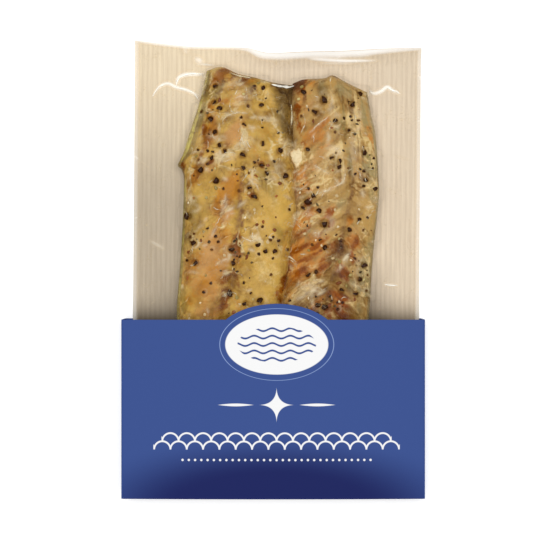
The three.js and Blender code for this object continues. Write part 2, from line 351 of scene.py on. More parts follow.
def sleeveSection():  # points round the tube, from the middle of the back panel anticlockwise
    edge = sleeve["width"] / 2
    side = edge - sleeve["foldRadius"]
    low, high = sleeve["foldRadius"], sleeve["depth"] - sleeve["foldRadius"]
    rise = (sleeveTopY - sleeve["ovalY"]) / sleeve["tabHalfHeight"]
    tabReach = sleeve["tabHalfWidth"] * math.sqrt(1 - rise ** 2)
    corners = [sleeve["ovalX"] - tabReach, sleeve["ovalX"] + tabReach]
    front = np.unique(np.concatenate([np.linspace(-side, side, 150), corners]))[1:-1][::-1]
    back = np.linspace(0, side, 22)[:-1]
    points = [(x, 0) for x in back] + cornerArc(side, low, -90)
    points += [(edge, z) for z in np.linspace(low, high, 9)[1:-1]] + cornerArc(side, high, 0)
    points += [(x, crownHeight(x)) for x in front] + cornerArc(-side, high, 90)
    points += [(-edge, z) for z in np.linspace(high, low, 9)[1:-1]] + cornerArc(-side, low, 180)
    points += [(-x, 0) for x in back[::-1]]
    return np.array(points)


def makeSleeve():
    section = sleeveSection()
    piece, across, along = addGrid("sleeve_card", len(section) - 1, sleeve["rows"])
    x, z = section[np.rint(across * (len(section) - 1)).astype(int)].T
    fromOval = (x - sleeve["ovalX"]) / sleeve["tabHalfWidth"]
    ovalEdge = sleeve["ovalY"] + sleeve["tabHalfHeight"] * np.sqrt(np.maximum(1 - fromOval ** 2, 0))
    onFront = z > sleeve["depth"] - 0.01
    top = np.where(onFront, np.maximum(sleeveTopY, ovalEdge), sleeveTopY)
    writePoints(piece, x, blend(footY, top, along), z)
    facesOutwards(piece)
    applyModifier(piece, "SOLIDIFY", thickness=sleeve["card"] * mm, offset=-1, use_even_offset=True,
                  material_offset=1, material_offset_rim=1)
    smoothShade(piece, 40)
    return piece


def ellipseShare(x, y, halfWidth, halfHeight):  # below 1 inside
    right, up = calc("DIVIDE", x, halfWidth), calc("DIVIDE", y, halfHeight)
    return calc("SQRT", plus(calc("POWER", right, 2.0), calc("POWER", up, 2.0)))


def insideBox(x, y, halfWidth, halfHeight, blur=0.12):
    across = softStep(unsigned(x), halfWidth + blur, halfWidth - blur)
    return times(across, softStep(unsigned(y), halfHeight + blur, halfHeight - blur))


def repeated(x, pitch):  # x again and again from -pitch / 2 to pitch / 2
    return calc("WRAP", x, pitch / 2, -pitch / 2)


# Plain print: a star between tapered rules, a border of fish scales, a row of dots, and waves in the oval
printing = {
    "middleX": 1.8,
    "starY": -73.5,
    "starReach": 9.5,
    "ruleStart": 12,
    "ruleLength": 19,
    "ruleHalfThick": 0.75,
    "scalesY": -97,
    "scalePitch": 8.6,
    "scales": 15,
    "scaleLine": 0.45,
    "dotsY": -102.5,
    "dotPitch": 3.3,
    "dotRadius": 0.62,
    "dots": 31,
    "wavePitch": 3.9,
    "waveLength": 9.5,
    "waveRise": 0.75,
    "wavesHalfWidth": 21,
    "wavesHalfHeight": 9.6,
}


def starAndRules(x, y):
    y = minus(y, printing["starY"])
    arms = [calc("SQRT", calc("DIVIDE", unsigned(axis), printing["starReach"])) for axis in (x, y)]
    star = softStep(plus(*arms), 1.03, 0.97)
    share = calc("DIVIDE", minus(unsigned(x), printing["ruleStart"]), printing["ruleLength"])
    halfThick = times(calc("SINE", times(share, math.pi)), printing["ruleHalfThick"])
    rule = softStep(minus(unsigned(y), halfThick), 0.08, -0.12)
    onRule = times(calc("GREATER_THAN", share, 0.0), calc("LESS_THAN", share, 1.0))
    return highest(star, times(rule, onRule))


def scaleRow(x, y, shift, count):  # half rings side by side
    radius = printing["scalePitch"] / 2
    away = ellipseShare(repeated(plus(x, shift), printing["scalePitch"]), y, radius, radius)
    fromRing = times(unsigned(minus(away, 1.0)), radius)
    ring = softStep(fromRing, printing["scaleLine"] + 0.12, printing["scaleLine"] - 0.12)
    return times(ring, insideBox(x, minus(y, radius * 0.75), radius * count + 0.4, radius * 0.75))


def scaleBorder(x, y):
    half = printing["scalePitch"] / 2
    y = minus(y, printing["scalesY"])
    lowRow = scaleRow(x, y, 0, printing["scales"])
    return highest(lowRow, scaleRow(x, minus(y, half), half, printing["scales"] - 1))


def dotRow(x, y):
    y = minus(y, printing["dotsY"])
    away = ellipseShare(repeated(x, printing["dotPitch"]), y, printing["dotRadius"], printing["dotRadius"])
    return times(softStep(away, 1.2, 0.8), insideBox(x, y, printing["dotPitch"] * printing["dots"] / 2, 2))


def ovalWaves(x, y):
    swing = calc("SINE", times(x, 2 * math.pi / printing["waveLength"]))
    fromWave = repeated(plusTimes(y, swing, printing["waveRise"]), printing["wavePitch"])
    area = ellipseShare(x, y, printing["wavesHalfWidth"], printing["wavesHalfHeight"])
    return times(softStep(unsigned(fromWave), 0.62, 0.42), softStep(area, 1.0, 0.97))


def makePrintMaterial():
    material, tree, shader = newMaterial("bluePrintedCard", Roughness=0.5, Specular_IOR_Level=0.06)
    x, y, z = placeInMillimetres(tree)
    front = calc("GREATER_THAN", z, sleeve["depth"] - 0.2)
    # Navy that deepens to the middle of the foot
    glow = ellipseShare(x, minus(y, footY - 6), 106, 40)
    colour = mixColour(times(softStep(glow, 1.04, 0.48), front), srgb(*sleeve["blue"]), srgb(*sleeve["navy"]))
    # Thin pale ring round the oval
    ovalX, ovalY = minus(x, sleeve["ovalX"]), minus(y, sleeve["ovalY"])
    fromRing = minus(ellipseShare(ovalX, ovalY, sleeve["ringHalfWidth"], sleeve["ringHalfHeight"]), 1.0)
    ring = times(softStep(unsigned(fromRing), 0.01, 0.003), 0.6, front)
    colour = mixColour(ring, colour, srgb(*sleeve["ring"]))
    # White oval with waves in it, and the other white print
    field = ellipseShare(ovalX, ovalY, sleeve["fieldHalfWidth"], sleeve["fieldHalfHeight"])
    white = minus(softStep(field, 1.012, 0.988), ovalWaves(ovalX, ovalY))
    x = minus(x, printing["middleX"])
    for mark in (starAndRules(x, y), scaleBorder(x, y), dotRow(x, y)):
        white = highest(white, mark)
    colour = mixColour(times(white, front), colour, srgb(*sleeve["white"]))
    grainFinish(shader, colour, 900.0, 0.05, 0.25, 0.05)
    return material


def makeBoardMaterial():
    material, tree, shader = newMaterial("bareBoard", Roughness=0.8, Specular_IOR_Level=0.25)
    grainFinish(shader, srgb(*sleeve["board"]), 1400.0, 0.16, 0.3, 0.05)
    return material


handIn(makeSleeve(), "printed_card", "card_sleeve", makePrintMaterial(), makeBoardMaterial())


# Back sheet

sheet = {
    "width": 155,
    "thickness": 0.6,
    "footY": -116,
    "offsetX": 1.2,
    "turn": -0.45,
    "pivotY": -75,
    "topEdge": [
        (-77.5, 121.2), (-48, 118.2), (-18, 117.5), (-6, 114.6), (14, 115), (36, 115.7), (56, 117.1),
        (77.5, 118.2),
    ],
    "curl": [(-77.5, 1), (-30, 0.8), (-8, 2.8), (15, 4.5), (45, 4), (77.5, 2)],
    "curlLength": 11,
    "comesDown": (2, 20),  # from the sleeve's top edge
    "kraft": (233, 214, 186),
    "rib": (214, 194, 167),
    # painted light in the upper left corner, and painted shade down the left side
    "pale": (1.12, 1.13, 1.08, 1),
    "paintedShade": (0.665, 0.665, 0.65, 1),
    "shadow": (0.24, 0.21, 0.16, 1),  # close to the sleeve
    "corner": (0.66, 0.65, 0.64, 1),  # between the fillets' sides and the sleeve
    "ribPitch": 2.65,
    "paintedShadeDown": (112, 26),  # y from painted light to painted shade
    "paintedShadeLeft": (10, -40),
    "shadowOut": (22, -4),  # y from the sleeve's top edge
    "shadowIn": (-24, -5),
    "shadowRight": (58, 70),
    "cornerSide": (71, 53),
    "cornerTop": (8, -20),
    "cornerFoot": (-55, -35),
    "cornerRight": (-30, 30),
}


def restHeight(y):  # of the sheet's underside, on the sleeve's back panel and then on the table
    start, end = sheet["comesDown"]
    return (sleeve["card"] + pack["gap"]) * (1 - ramp(y, sleeveTopY + start, sleeveTopY + end))


def sheetToPack(x, y):
    turn = math.radians(sheet["turn"])
    shiftX = sheet["offsetX"] + sheet["pivotY"] * math.sin(turn)
    shiftY = sheet["pivotY"] * (1 - math.cos(turn))
    turnedX, turnedY = turned(x, y, turn)
    return shiftX + turnedX, shiftY + turnedY


def sheetTop(x, y):  # height of the sheet's upper face at a point of the sheet
    share = np.clip((y - through(sheet["topEdge"], x)) / sheet["curlLength"] + 1, 0, 1)
    return restHeight(y) + through(sheet["curl"], x) * share ** 2 + sheet["thickness"]


def makeBackSheet():
    piece, across, along = addGrid("kraft_back", 110, 180)
    x = (across - 0.5) * sheet["width"]
    y = blend(sheet["footY"], through(sheet["topEdge"], x), along)
    packX, packY = sheetToPack(x, y)
    writePoints(piece, packX, packY, sheetTop(x, y))
    applyModifier(piece, "SOLIDIFY", thickness=sheet["thickness"] * mm, offset=-1)
    smoothShade(piece, 40)
    return piece


def makeKraftMaterial():
    material, tree, shader = newMaterial("ribbedKraft", Roughness=0.62, Specular_IOR_Level=0.3)
    turning = {"Vector": objectPlace(tree), "Rotation": (0, 0, math.radians(-sheet["turn"]))}
    place = addNode(tree, "ShaderNodeMapping", turning).outputs["Vector"]
    ribScale = math.pi / 10 / (sheet["ribPitch"] * mm)  # a wave repeats every 0.05 pi of its scaled length
    inputs = {"Vector": place, "Scale": ribScale, "Distortion": 0.4, "Detail": 1.0, "Detail Scale": 0.6}
    ribs = addNode(tree, "ShaderNodeTexWave", inputs, bands_direction="X").outputs["Fac"]
    stretched = addNode(tree, "ShaderNodeMapping", {"Vector": place, "Scale": (1, 0.05, 1)}).outputs["Vector"]
    amount = plusTimes(times(ribs, 0.2), noise(stretched, 1100, 3, 0.6), 0.8)
    colour = mixColour(softStep(amount, 0.2, 0.8), srgb(*sheet["rib"]), srgb(*sheet["kraft"]))
    # Painted light in the upper left corner and painted shade down the left side
    x, y, z = placeInMillimetres(tree)
    shade = mixColour(softStep(y, *sheet["paintedShadeDown"]), sheet["pale"], sheet["paintedShade"])
    colour = shaded(colour, mixColour(softStep(x, *sheet["paintedShadeLeft"]), (1, 1, 1, 1), shade))
    # Shadow close to the sleeve, which fades a little inside it and to the right
    fromSleeve = minus(y, sleeveTopY)
    near = calc("POWER", softStep(fromSleeve, *sheet["shadowOut"]), 2.0)
    near = times(near, plusTimes(1.0, softStep(x, *sheet["shadowRight"]), -0.2))
    near = times(near, softStep(fromSleeve, *sheet["shadowIn"]))
    colour = mixColour(near, colour, shaded(colour, sheet["shadow"]))
    # Shade between the fillets' sides and the sleeve, deeper on the right
    corner = times(softStep(unsigned(x), *sheet["cornerSide"]), softStep(y, *sheet["cornerTop"]))
    corner = times(corner, softStep(y, *sheet["cornerFoot"]))
    corner = times(corner, plusTimes(0.55, softStep(x, *sheet["cornerRight"]), 0.45))
    colour = mixColour(corner, colour, shaded(colour, sheet["corner"]))
    grain = useGroup(tree, fineGrain, Scale=700.0, Contrast=0.1)
    feed(shader, Base_Color=shaded(colour, grain["Shade"]), Normal=bump(ribs, 0.12, 0.12))
    return material


handIn(makeBackSheet(), "kraft_sheet", "back_sheet", makeKraftMaterial())


# Fillets. Outlines are (y, x) pairs from the tail to the head, and the head end is (x, y) pairs.
# Patches are (x, y, half length, half width, strength), and those of a colour slant with the flakes.

leftFillet = {
    "name": "fillet_left",
    "seed": 11,
    "shoulder": 3.6,
    "tail": -108,
    "headMean": 102,
    "head": [(-36, 105), (-28, 107.1), (-19, 103.4), (-9, 101.1), (0, 98.6), (13, 96.8)],
    "outer": [
        (-108, -31), (-90, -38.5), (-60, -47), (-29, -51.8), (0, -50), (25, -48.6), (45, -48.2),
        (49.5, -49.4), (51.5, -51.4), (54, -50.4), (58, -48.4), (68, -45.3), (86, -39.5), (102, -35.8),
    ],
    "inner": [
        (-108, -11), (-90, -5), (-60, 0), (-29, 5.5), (-6, 9), (17, 11.8), (30, 14), (45, 13), (68, 12.3),
        (89, 11.6), (102, 11.4),
    ],
    "line": [(-108, -21), (-29, -24), (2, -20.5), (30, -18), (60, -16), (86, -12.5), (102, -9)],
    "height": [(-108, 5.5), (-70, 10), (-29, 13), (10, 14.6), (60, 14.8), (90, 13.2), (102, 12.4)],
    "bare": 0.5,
    "lowShade": 0.05,  # how much darker the low part is
    "streaks": 0.15,  # how far the colour and the relief follow the flakes
    "paleSeams": 0.85,
    "paintedLightSide": 0,  # painted light: how much paler the outer side is
    "folded": 0,  # whether long folds run down the outer strip
    "valley": [(-32, 3), (-8, 4), (2, 8), (58, 8), (66, 2), (74, -1), (82, -3), (90, -5), (105, -5)],
    "valleyShade": [
        (-32, 0.9), (-8, 0.9), (8, 0.35), (58, 0.3), (68, 0.8), (80, 0.6), (92, 0.9), (105, 0.9),
    ],
    "valleyFade": (0, 10),  # from clear to full shade, across from the valley's line
    "valleyWobble": 1.5,
    "skinWidth": [(-108, 2.5), (38, 1.6), (50, 1.2), (57, 5.5), (75, 6), (90, 4.5), (102, 2)],
    "plate": (13, 12),  # length and width of the uneven plates
    "plateStep": 0.45,
    "mottling": 1.05,
    "cracks": 0.35,
    "shadowAndDarkThreads": 0.45,
    "gold": (222, 182, 91),
    "peach": (216, 164, 96),
    "olive": (176, 146, 72),
    "amber": (206, 142, 46),
    "rust": (156, 90, 10),
    "violet": (139, 95, 60),
    "cream": (244, 222, 164),
    "skin": (160, 138, 78),
    "rim": (244, 232, 126),
    # darker flesh and painted shade in the valley and along the inner edge
    "dark_and_shade": (112, 84, 38),
    "calmPatches": [
        (-1, 28, 15, 9, 1), (-4, -5, 20, 9, 0.9), (-34, 5, 15, 8, 0.8), (-22, 42, 9, 7, 0.8),
        (-21, 70, 7, 5, 0.7), (-38, -12, 10, 9, 0.7), (-10, 62, 5, 6, 0.5), (-33, 47, 6, 5, 0.6),
        (-40, 35, 9, 5, 0.5), (-6, 72, 6, 6, 0.8), (-15, 87, 8, 8, 0.5),
    ],
    "peachPatches": [
        (-21, 71, 9, 5, 0.9), (-33, 10, 15, 8, 0.9), (-37, -8, 12, 8, 0.7), (-26, 28, 10, 6, 0.9),
        (-28, 2, 20, 8, 0.65), (-45, 5, 10, 2.5, 0.4), (-18, 87, 6, 4, 0.6), (-28, 55, 4, 8, 0.5),
        (-37, -22, 8, 9, 0.7), (-22, 95, 5, 4, 0.5), (-10, 24, 4, 5, 0.3),
    ],
    "amberPatches": [
        (-27, 101, 5, 9, 0.8), (-21, 97, 4, 5, 0.6), (-13, 98, 2.5, 7, 0.6), (-25.5, 87.5, 3, 3, 0.9),
        (-33, 85, 5, 3, 0.8), (-35, 69, 9, 4, 1.0), (-5, 73, 7, 5, 0.35), (-9, 57, 4, 7, 0.5),
        (-21, 42, 10, 7, 1.0), (-24, 37, 6, 5, 0.8), (-43, 46, 5, 5, 0.9),
        (-25, 15, 7, 5, 0.75), (-39, -14, 9, 7, 0.75), (-36, -20, 8, 8, 0.6), (-28, 32, 8, 5.5, 0.85),
        (-27, 22, 9, 6, 0.65), (-29, -4, 14, 7, 0.5), (-44, 0, 14, 4, 0.6), (-19, 10, 8, 3, 0.8),
        (-32, -24, 5, 8, 0.6), (-18, -22, 4, 5, 0.6), (6, 10, 14, 2, 0.4),
    ],
    "rustPatches": [
        (-35, 84, 3, 2, 0.8), (-36.6, 73, 4, 1.8, 1.0), (-35, 66, 6, 2.6, 0.7), (-38, 60, 3, 2, 0.8),
        (-24, 100, 2.5, 6, 0.6), (-15, 99, 1.5, 4, 0.9), (-19, 11, 6, 3.2, 1.0), (-20, 6, 4, 2, 0.6),
        (-33, 55, 1.5, 3, 0.9), (-12, 37, 2.5, 2, 0.9), (-6, 53, 1.8, 3, 0.9), (-26, -8, 4, 3.5, 0.8),
        (-19, -9, 2.5, 2.5, 0.7), (-21, -4, 2, 2.5, 0.6), (-26, -19, 7, 3, 0.9), (6.4, -9, 7, 1.8, 1.0),
        (4.5, -18, 5, 2.5, 0.8), (-43, 46, 4, 4, 0.45), (-31, 18.5, 1.3, 2, 0.7), (-32, 97, 4, 3, 0.5),
        (-28, 101, 4, 6, 0.9), (-49, 51, 2, 3, 0.8),
    ],
    "violetPatches": [
        (-13, 90, 7, 3.5, 0.5), (-16.5, 27, 4, 1.8, 0.8), (-16.5, 22, 3, 1.6, 0.7), (-26, -15, 5, 3, 0.6),
    ],
    "creamPatches": [
        (-26, 57.5, 3, 6, 0.8), (-15.5, 67, 7, 2, 0.8), (-25, 79.5, 1.5, 4, 0.7), (-24, 30, 2, 3.5, 0.6),
        (-26, 21, 2, 2, 0.5), (-18, 86, 3, 3, 0.6), (-9, 13.5, 1.6, 4, 0.8), (1, 34, 9, 4, 0.4),
        (-4, 78, 1.6, 3, 0.9), (-40.5, 78, 7, 1.4, 0.5), (-3, 46, 4, 5, 0.1), (4, 52, 6, 4, 0.5),
        (-29, 1.5, 0.9, 2, 0.6), (-24, -4, 1.2, 2.5, 0.8), (-4, -2, 10, 8, 0.42), (-4, 92, 4, 4, 0.4),
        (12, 57, 6, 4, 0.8),
    ],
    "olivePatches": [
        (-31, 93, 6, 4, 0.9), (4, 80, 10, 5, 0.6), (-42, 18, 8, 4, 0.45), (-11, 52, 2, 5, 0.5),
        (-5, 46, 7, 8, 0.8), (-28, 50, 2, 3, 0.2), (-44, 30, 8, 4, 0.6), (-48, -15, 12, 2.5, 0.8),
        (4, 17, 4, 4, 0.6), (-2, 9, 4, 5, 0.4),
    ],
}
rightFillet = {
    "name": "fillet_right",
    "seed": 23,
    "shoulder": 5,
    "tail": -106,
    "headMean": 99,
    "head": [(9, 97.6), (16.6, 100.3), (28, 101), (32, 102.6), (38, 99.5), (45, 96), (51, 93.3)],
    "outer": [
        (-106, 31), (-90, 37), (-60, 45), (-29, 51.2), (0, 53.2), (20, 55), (41, 57.1), (53, 56.8),
        (66, 56), (77, 55), (86, 53), (99, 50.8),
    ],
    "inner": [
        (-106, 13), (-90, 8), (-60, 4), (-29, 2.2), (-6, 5.8), (17, 8.8), (30, 11.4), (45, 10.2), (68, 9.8),
        (89, 9.2), (99, 10.6),
    ],
    "line": [
        (-106, 22), (-29, 28), (-12, 30.5), (9, 35), (30, 40), (45, 42.5), (68, 42.3), (86, 38.5),
        (99, 33.5),
    ],
    "height": [(-106, 5.5), (-70, 9.5), (-29, 12.4), (10, 13.6), (60, 14), (90, 12.6), (99, 11.8)],
    "bare": 0.62,
    "lowShade": 0.3,
    "streaks": 1.0,
    "paleSeams": 0.6,
    "paintedLightSide": 0.3,
    "folded": 1,
    "valley": [(-32, 4), (60, 10), (66, 10.5), (86, 11), (96, 15)],
    "valleyShade": [(-32, 0.4), (58, 0.2), (68, 0.3), (90, 0.4), (97, 1.0)],
    "valleyFade": (4, 0),
    "valleyWobble": 0,
    "skinWidth": [(-106, 2), (0, 1.6), (40, 1.2), (99, 1.2)],
    "plate": (8, 14),
    "plateStep": 0.4,
    "mottling": 1.25,
    "cracks": 0.15,
    "shadowAndDarkThreads": 0.25,
    "gold": (198, 160, 93),
    "peach": (210, 152, 88),
    "olive": (174, 154, 102),
    "amber": (212, 142, 58),
    "rust": (158, 84, 4),
    "violet": (110, 64, 22),
    "cream": (236, 208, 146),
    "skin": (166, 142, 92),
    "rim": (186, 166, 114),
    # darker flesh and painted shade in the valley and along the inner edge
    "dark_and_shade": (112, 62, 22),
    "calmPatches": [
        (20, 66, 6, 6, 0.7), (37, 86, 6, 4, 0.5), (19, 86, 9, 6, 0.7), (26, 57, 5, 6, 0.8),
        (20, 5, 12, 9, 0.5), (47, 82, 10, 5, 0.5), (34, 42, 4, 6, 0.6),
    ],
    "peachPatches": [
        (17, 23, 7, 4, 1.0), (24, 57, 5, 6, 0.5), (27, 46, 5, 7, 0.4), (46, 76, 8, 4, 0.4),
        (44, 44, 8, 4, 0.4), (18, 87, 8, 5, 0.6), (22, 5, 6, 5, 0.5),
        (28, 12, 5, 4, 0.5), (43, 17, 7, 5, 0.5), (44, -16, 4, 4, 0.5), (24, -14, 4, 4, 0.5),
        (34, -13, 4, 4, 0.6),
    ],
    "amberPatches": [
        (15, 89, 7, 4, 0.5), (15, 77, 7, 4, 0.5), (21, 69, 9, 9, 0.7), (27, 76, 3, 4, 1.0),
        (24, 67, 4, 6, 0.9), (16, 63, 3, 3, 0.9), (53, 67, 7, 3, 0.85), (47, 72, 2, 2, 0.7),
        (15, 46, 9, 4.5, 1.0), (33, 42, 2, 6, 0.6), (20, 50, 1.2, 6, 0.5), (30, 38, 1.5, 7, 0.5),
        (18, 40, 1.5, 5, 0.6), (26, 63, 1.2, 6, 0.6), (13, 22, 5, 3, 0.8),
        (14, 9, 7, 4, 1.0), (23, 7, 7, 4, 1.0), (20, 1, 4, 4, 0.9), (18, 2, 17, 11, 0.75),
        (18, 25, 7, 5, 0.7), (36, -18, 8, 6, 0.4), (30, 27, 3, 3, 0.9), (13, -4, 7, 5, 1.0),
        (26, -3, 6, 3, 0.9), (43, 13, 5, 4, 1.0), (37, -2, 4, 4, 1.0), (33, -18, 3, 5, 0.7),
        (23, -20, 4, 4, 0.8), (41, 24, 4, 2, 0.8), (20, 96, 3, 5, 0.6),
    ],
    "rustPatches": [
        (15, 98, 3.5, 6, 1.0), (12.8, 84, 9, 1.5, 0.75), (13.2, 77, 7, 1.5, 0.7), (17, 72, 1.5, 2, 0.6),
        (15, 63, 2, 2.5, 0.8), (15, 9, 2, 6, 1.0), (23, 10, 2, 5, 0.9), (19, 3, 1.6, 6, 0.75),
        (14, -4, 2, 5, 0.7), (9, -2, 5, 1.6, 0.8), (26, -1, 2, 4, 0.8), (31, 4, 7, 7, 0.5),
        (36.5, -23, 8, 7, 0.6), (44, 11.5, 4, 2.5, 1.0), (43, 3, 2, 2, 0.9), (37, -3.5, 3, 4.5, 1.0),
        (38, -20, 4.5, 5, 1.0), (36, -26, 4.5, 5, 1.0), (29, -25, 4, 3, 1.0), (22, -23, 3, 3, 0.8),
        (31, 23, 3, 2.6, 0.9), (30, 27, 4, 2.6, 1.0), (18.6, 34, 3, 1.8, 1.0), (33, 12, 3, 4, 0.5),
        (18, 19, 1.3, 5, 0.6), (26, 17, 1.3, 5, 0.5),
    ],
    "violetPatches": [
        (36, 9, 13, 2, 0.65), (33.5, 5, 9, 5.5, 0.6), (36, -25, 4, 3, 0.4), (53, 53, 6, 3, 0.25),
        (41.5, 46, 10, 1.6, 0.5), (42, 37, 5, 1.5, 0.7), (41, 26, 4, 1.8, 0.5), (31, 24, 2.5, 3, 0.5),
        (32, -6, 4, 2, 0.5), (28, -13, 4, 2, 0.5), (44, 60, 7, 3, 0.35), (17, 90, 4, 2, 0.6),
        (26, 95, 4, 2.5, 0.15), (34, 88, 8, 2, 0.3),
    ],
    "creamPatches": [
        (27, 54, 4, 6, 0.5), (25, 48, 1.3, 6, 0.6), (33, 51, 1.3, 5, 0.5), (37, -11, 3, 3, 0.5),
        (43, -23, 3, 3, 0.4), (44, 46, 6, 2, 0.35), (32, 61, 2.5, 5, 0.9), (28, 48, 4, 6, 0.5),
        (45, 66, 8, 2.5, 0.5), (41, 77, 8, 5, 0.6), (33, 88, 6, 2, 0.5), (15.5, -14, 4.5, 5.5, 0.9),
        (34, 28, 2, 2, 0.6), (24, 33, 2, 3, 0.5), (22, 26, 1, 5, 0.7), (20, 57, 3, 3, 0.5),
        (24, 43, 2, 3, 0.6), (20, -8, 2, 2, 0.7), (49, 84, 5, 2, 0.3), (14, 57, 6, 4, 0.9),
        (34, 42, 1.2, 4, 0.3), (47, -18, 6, 2, 0.5), (51, 61, 4, 1.3, 0.5), (49, 44, 3, 1.5, 0.5),
        (52, 30, 5, 1.3, 0.5), (49, 16, 3, 1.5, 0.45), (51, 1, 4, 1.3, 0.5), (48, -7, 3, 1.5, 0.45),
    ],
    "olivePatches": [
        (26, 94, 4, 4, 0.8), (37, 94, 5, 4, 0.5), (53, 52, 8, 4, 1.0), (52, 38, 6, 3, 0.5),
        (41.5, -11, 4, 4, 1.0), (48, -10, 18, 4, 1.0), (33, -13, 3, 3, 0.3), (45.5, -22, 5, 4, 0.9),
        (35, 74, 3, 3, 0.8), (51, 8, 14, 3, 0.6), (29, 20, 4, 3, 0.6), (18, 17, 2, 2.5, 0.7),
        (37, 35, 5, 3, 0.5),
    ],
}
fillets = [leftFillet, rightFillet]
filletShape = {
    "rounding": 2.3,
    "endRounding": 8,
    "grooveDepth": 0.9,
    "grooveWidth": 3.2,
    "flakePitch": 13,
    "flakeSlope": 0.7,  # how steeply the flakes run down from the lateral line
    "flakeDepth": 0.55,
    "swell": 0.5,
}
film = {"edgeHeight": 2.4, "skirt": 3, "clear": 0.3}  # clear is its height over the flesh
fleshDetail = {
    "columns": 168,
    "rows": 390,
    "hiddenRows": 0.13,  # share of the rows in the sleeve, where little shows
    "hiddenLength": 0.36,
    "finePitch": 3.4,
    "fineDepth": 0.1,
    "fibreDepth": 0.06,
    "lumpDepth": 0.3,
    "lumpSize": 7,
    "seamWidth": 0.075,
    "seamDepth": 0.1,
    "least": 1,  # height of the thinnest flesh
    "rimDrop": 0.8,
}
pouchFloor = sheet["thickness"] + pack["gap"]


def placeIn(fillet, x, y):
    headY = through(fillet["head"], x)
    along = (y - fillet["tail"]) / (headY - fillet["tail"])
    stationY = blend(fillet["tail"], fillet["headMean"], along)
    outerX = through(fillet["outer"], stationY)
    innerX = through(fillet["inner"], stationY)
    across = 2 * (x - outerX) / (innerX - outerX) - 1
    fromEnd = np.minimum(y - fillet["tail"], headY - y)
    return across, stationY, fromEnd, np.abs(innerX - outerX) / 2


def flesh(fillet, x, y, stationY):
    shape = filletShape
    fromLine = x - through(fillet["line"], stationY)
    chevron = (y + shape["flakeSlope"] * np.abs(fromLine)) / shape["flakePitch"] + 0.25 * np.sin(0.17 * x)
    flake = chevron - np.floor(chevron)
    step = np.sin(np.pi * flake) ** 0.7 - 0.6
    groove = np.exp(-(fromLine / shape["grooveWidth"]) ** 2)
    swell = np.sin(0.13 * x + 0.05 * y) * np.sin(0.09 * y - 0.04 * x + 1)
    return shape["flakeDepth"] * step + shape["swell"] * swell - shape["grooveDepth"] * groove


def filletHeight(fillet, x, y):  # of the film on a fillet above the pouch's floor, 0 outside the fillet
    across, stationY, fromEnd, halfWidth = placeIn(fillet, x, y)
    inside = (np.abs(across) <= 1) & (fromEnd >= 0)
    side = np.maximum(1 - np.abs(across) ** fillet["shoulder"], 0) ** (1 / filletShape["rounding"])
    near = np.clip(fromEnd / filletShape["endRounding"], 0, 1)
    end = (1 - (1 - near) ** 2.5) ** 0.5
    full = through(fillet["height"], stationY) + flesh(fillet, x, y, stationY)
    height = film["edgeHeight"] + (full - film["edgeHeight"]) * side * end
    return np.where(inside, height, 0)


def alongFlakes(fillet, x, y, stationY):  # places across and along the flakes, which meet at the lateral line
    fromLine = x - through(fillet["line"], stationY)
    wander = 1.6 * layeredNoise(x, y, 15, fillet["seed"] + 5, 2)
    return y + filletShape["flakeSlope"] * np.abs(fromLine) + wander, fromLine


def plates(u, v, seed):  # uneven plates: each one's number, how far inside it, and the way to its middle
    lattice = np.random.default_rng(seed).random((64, 64, 3))
    columns, rows = np.floor(u).astype(int), np.floor(v).astype(int)
    nearest, second, number, right, up = [np.full(np.shape(u), fill) for fill in (9.0, 9.0, 0.0, 0.0, 0.0)]
    for i in (-1, 0, 1):
        for j in (-1, 0, 1):
            cell = lattice[(columns + i) % 64, (rows + j) % 64]
            toRight, toUp = columns + i + cell[..., 0] - u, rows + j + cell[..., 1] - v
            away = np.hypot(toRight, toUp)
            closer = away < nearest
            second = np.where(closer, nearest, np.minimum(second, away))
            number, right, up = [np.where(closer, new, old)
                                 for new, old in ((cell[..., 2], number), (toRight, right), (toUp, up))]
            nearest = np.where(closer, away, nearest)
    return number, second - nearest, right, up


def plateOf(fillet, x, y, stationY):
    up, out = alongFlakes(fillet, x, y, stationY)
    along, across = fillet["plate"]
    bend = 0.42 * layeredNoise(x, y, 7, fillet["seed"] + 3, 4)
    return plates(up / along + bend, out / across - bend, fillet["seed"])


def strongest(patches, x, y, low, high, moved=None):  # patches fade out from low to high shares of their size
    total = 0
    for middleX, middleY, halfLength, halfWidth, strength in patches:
        ownX, ownY = moved(middleX, middleY) if moved else (middleX, middleY)
        away = np.hypot((x - ownX) / halfWidth, (y - ownY) / halfLength)
        total = np.maximum(total, strength * (1 - ramp(away, low, high)))
    return total


def calmPlaces(fillet, x, y):  # 1 where the flesh is smooth and even
    return strongest(fillet["calmPatches"], x, y, 0.5, 1.3)


def foldedPlaces(fillet, x, y):  # where long folds and fibres run lengthwise
    return fillet["folded"] * ramp(x, 28, 37) * ramp(y, 30, 55)


def lengthwiseFolds(fillet, x, y):  # long pale folds with greyer hollows, from -1 to 1
    return foldedPlaces(fillet, x, y) * layeredNoise(x + 0.08 * y, 0.13 * y, 3.4, fillet["seed"] + 23, 3)


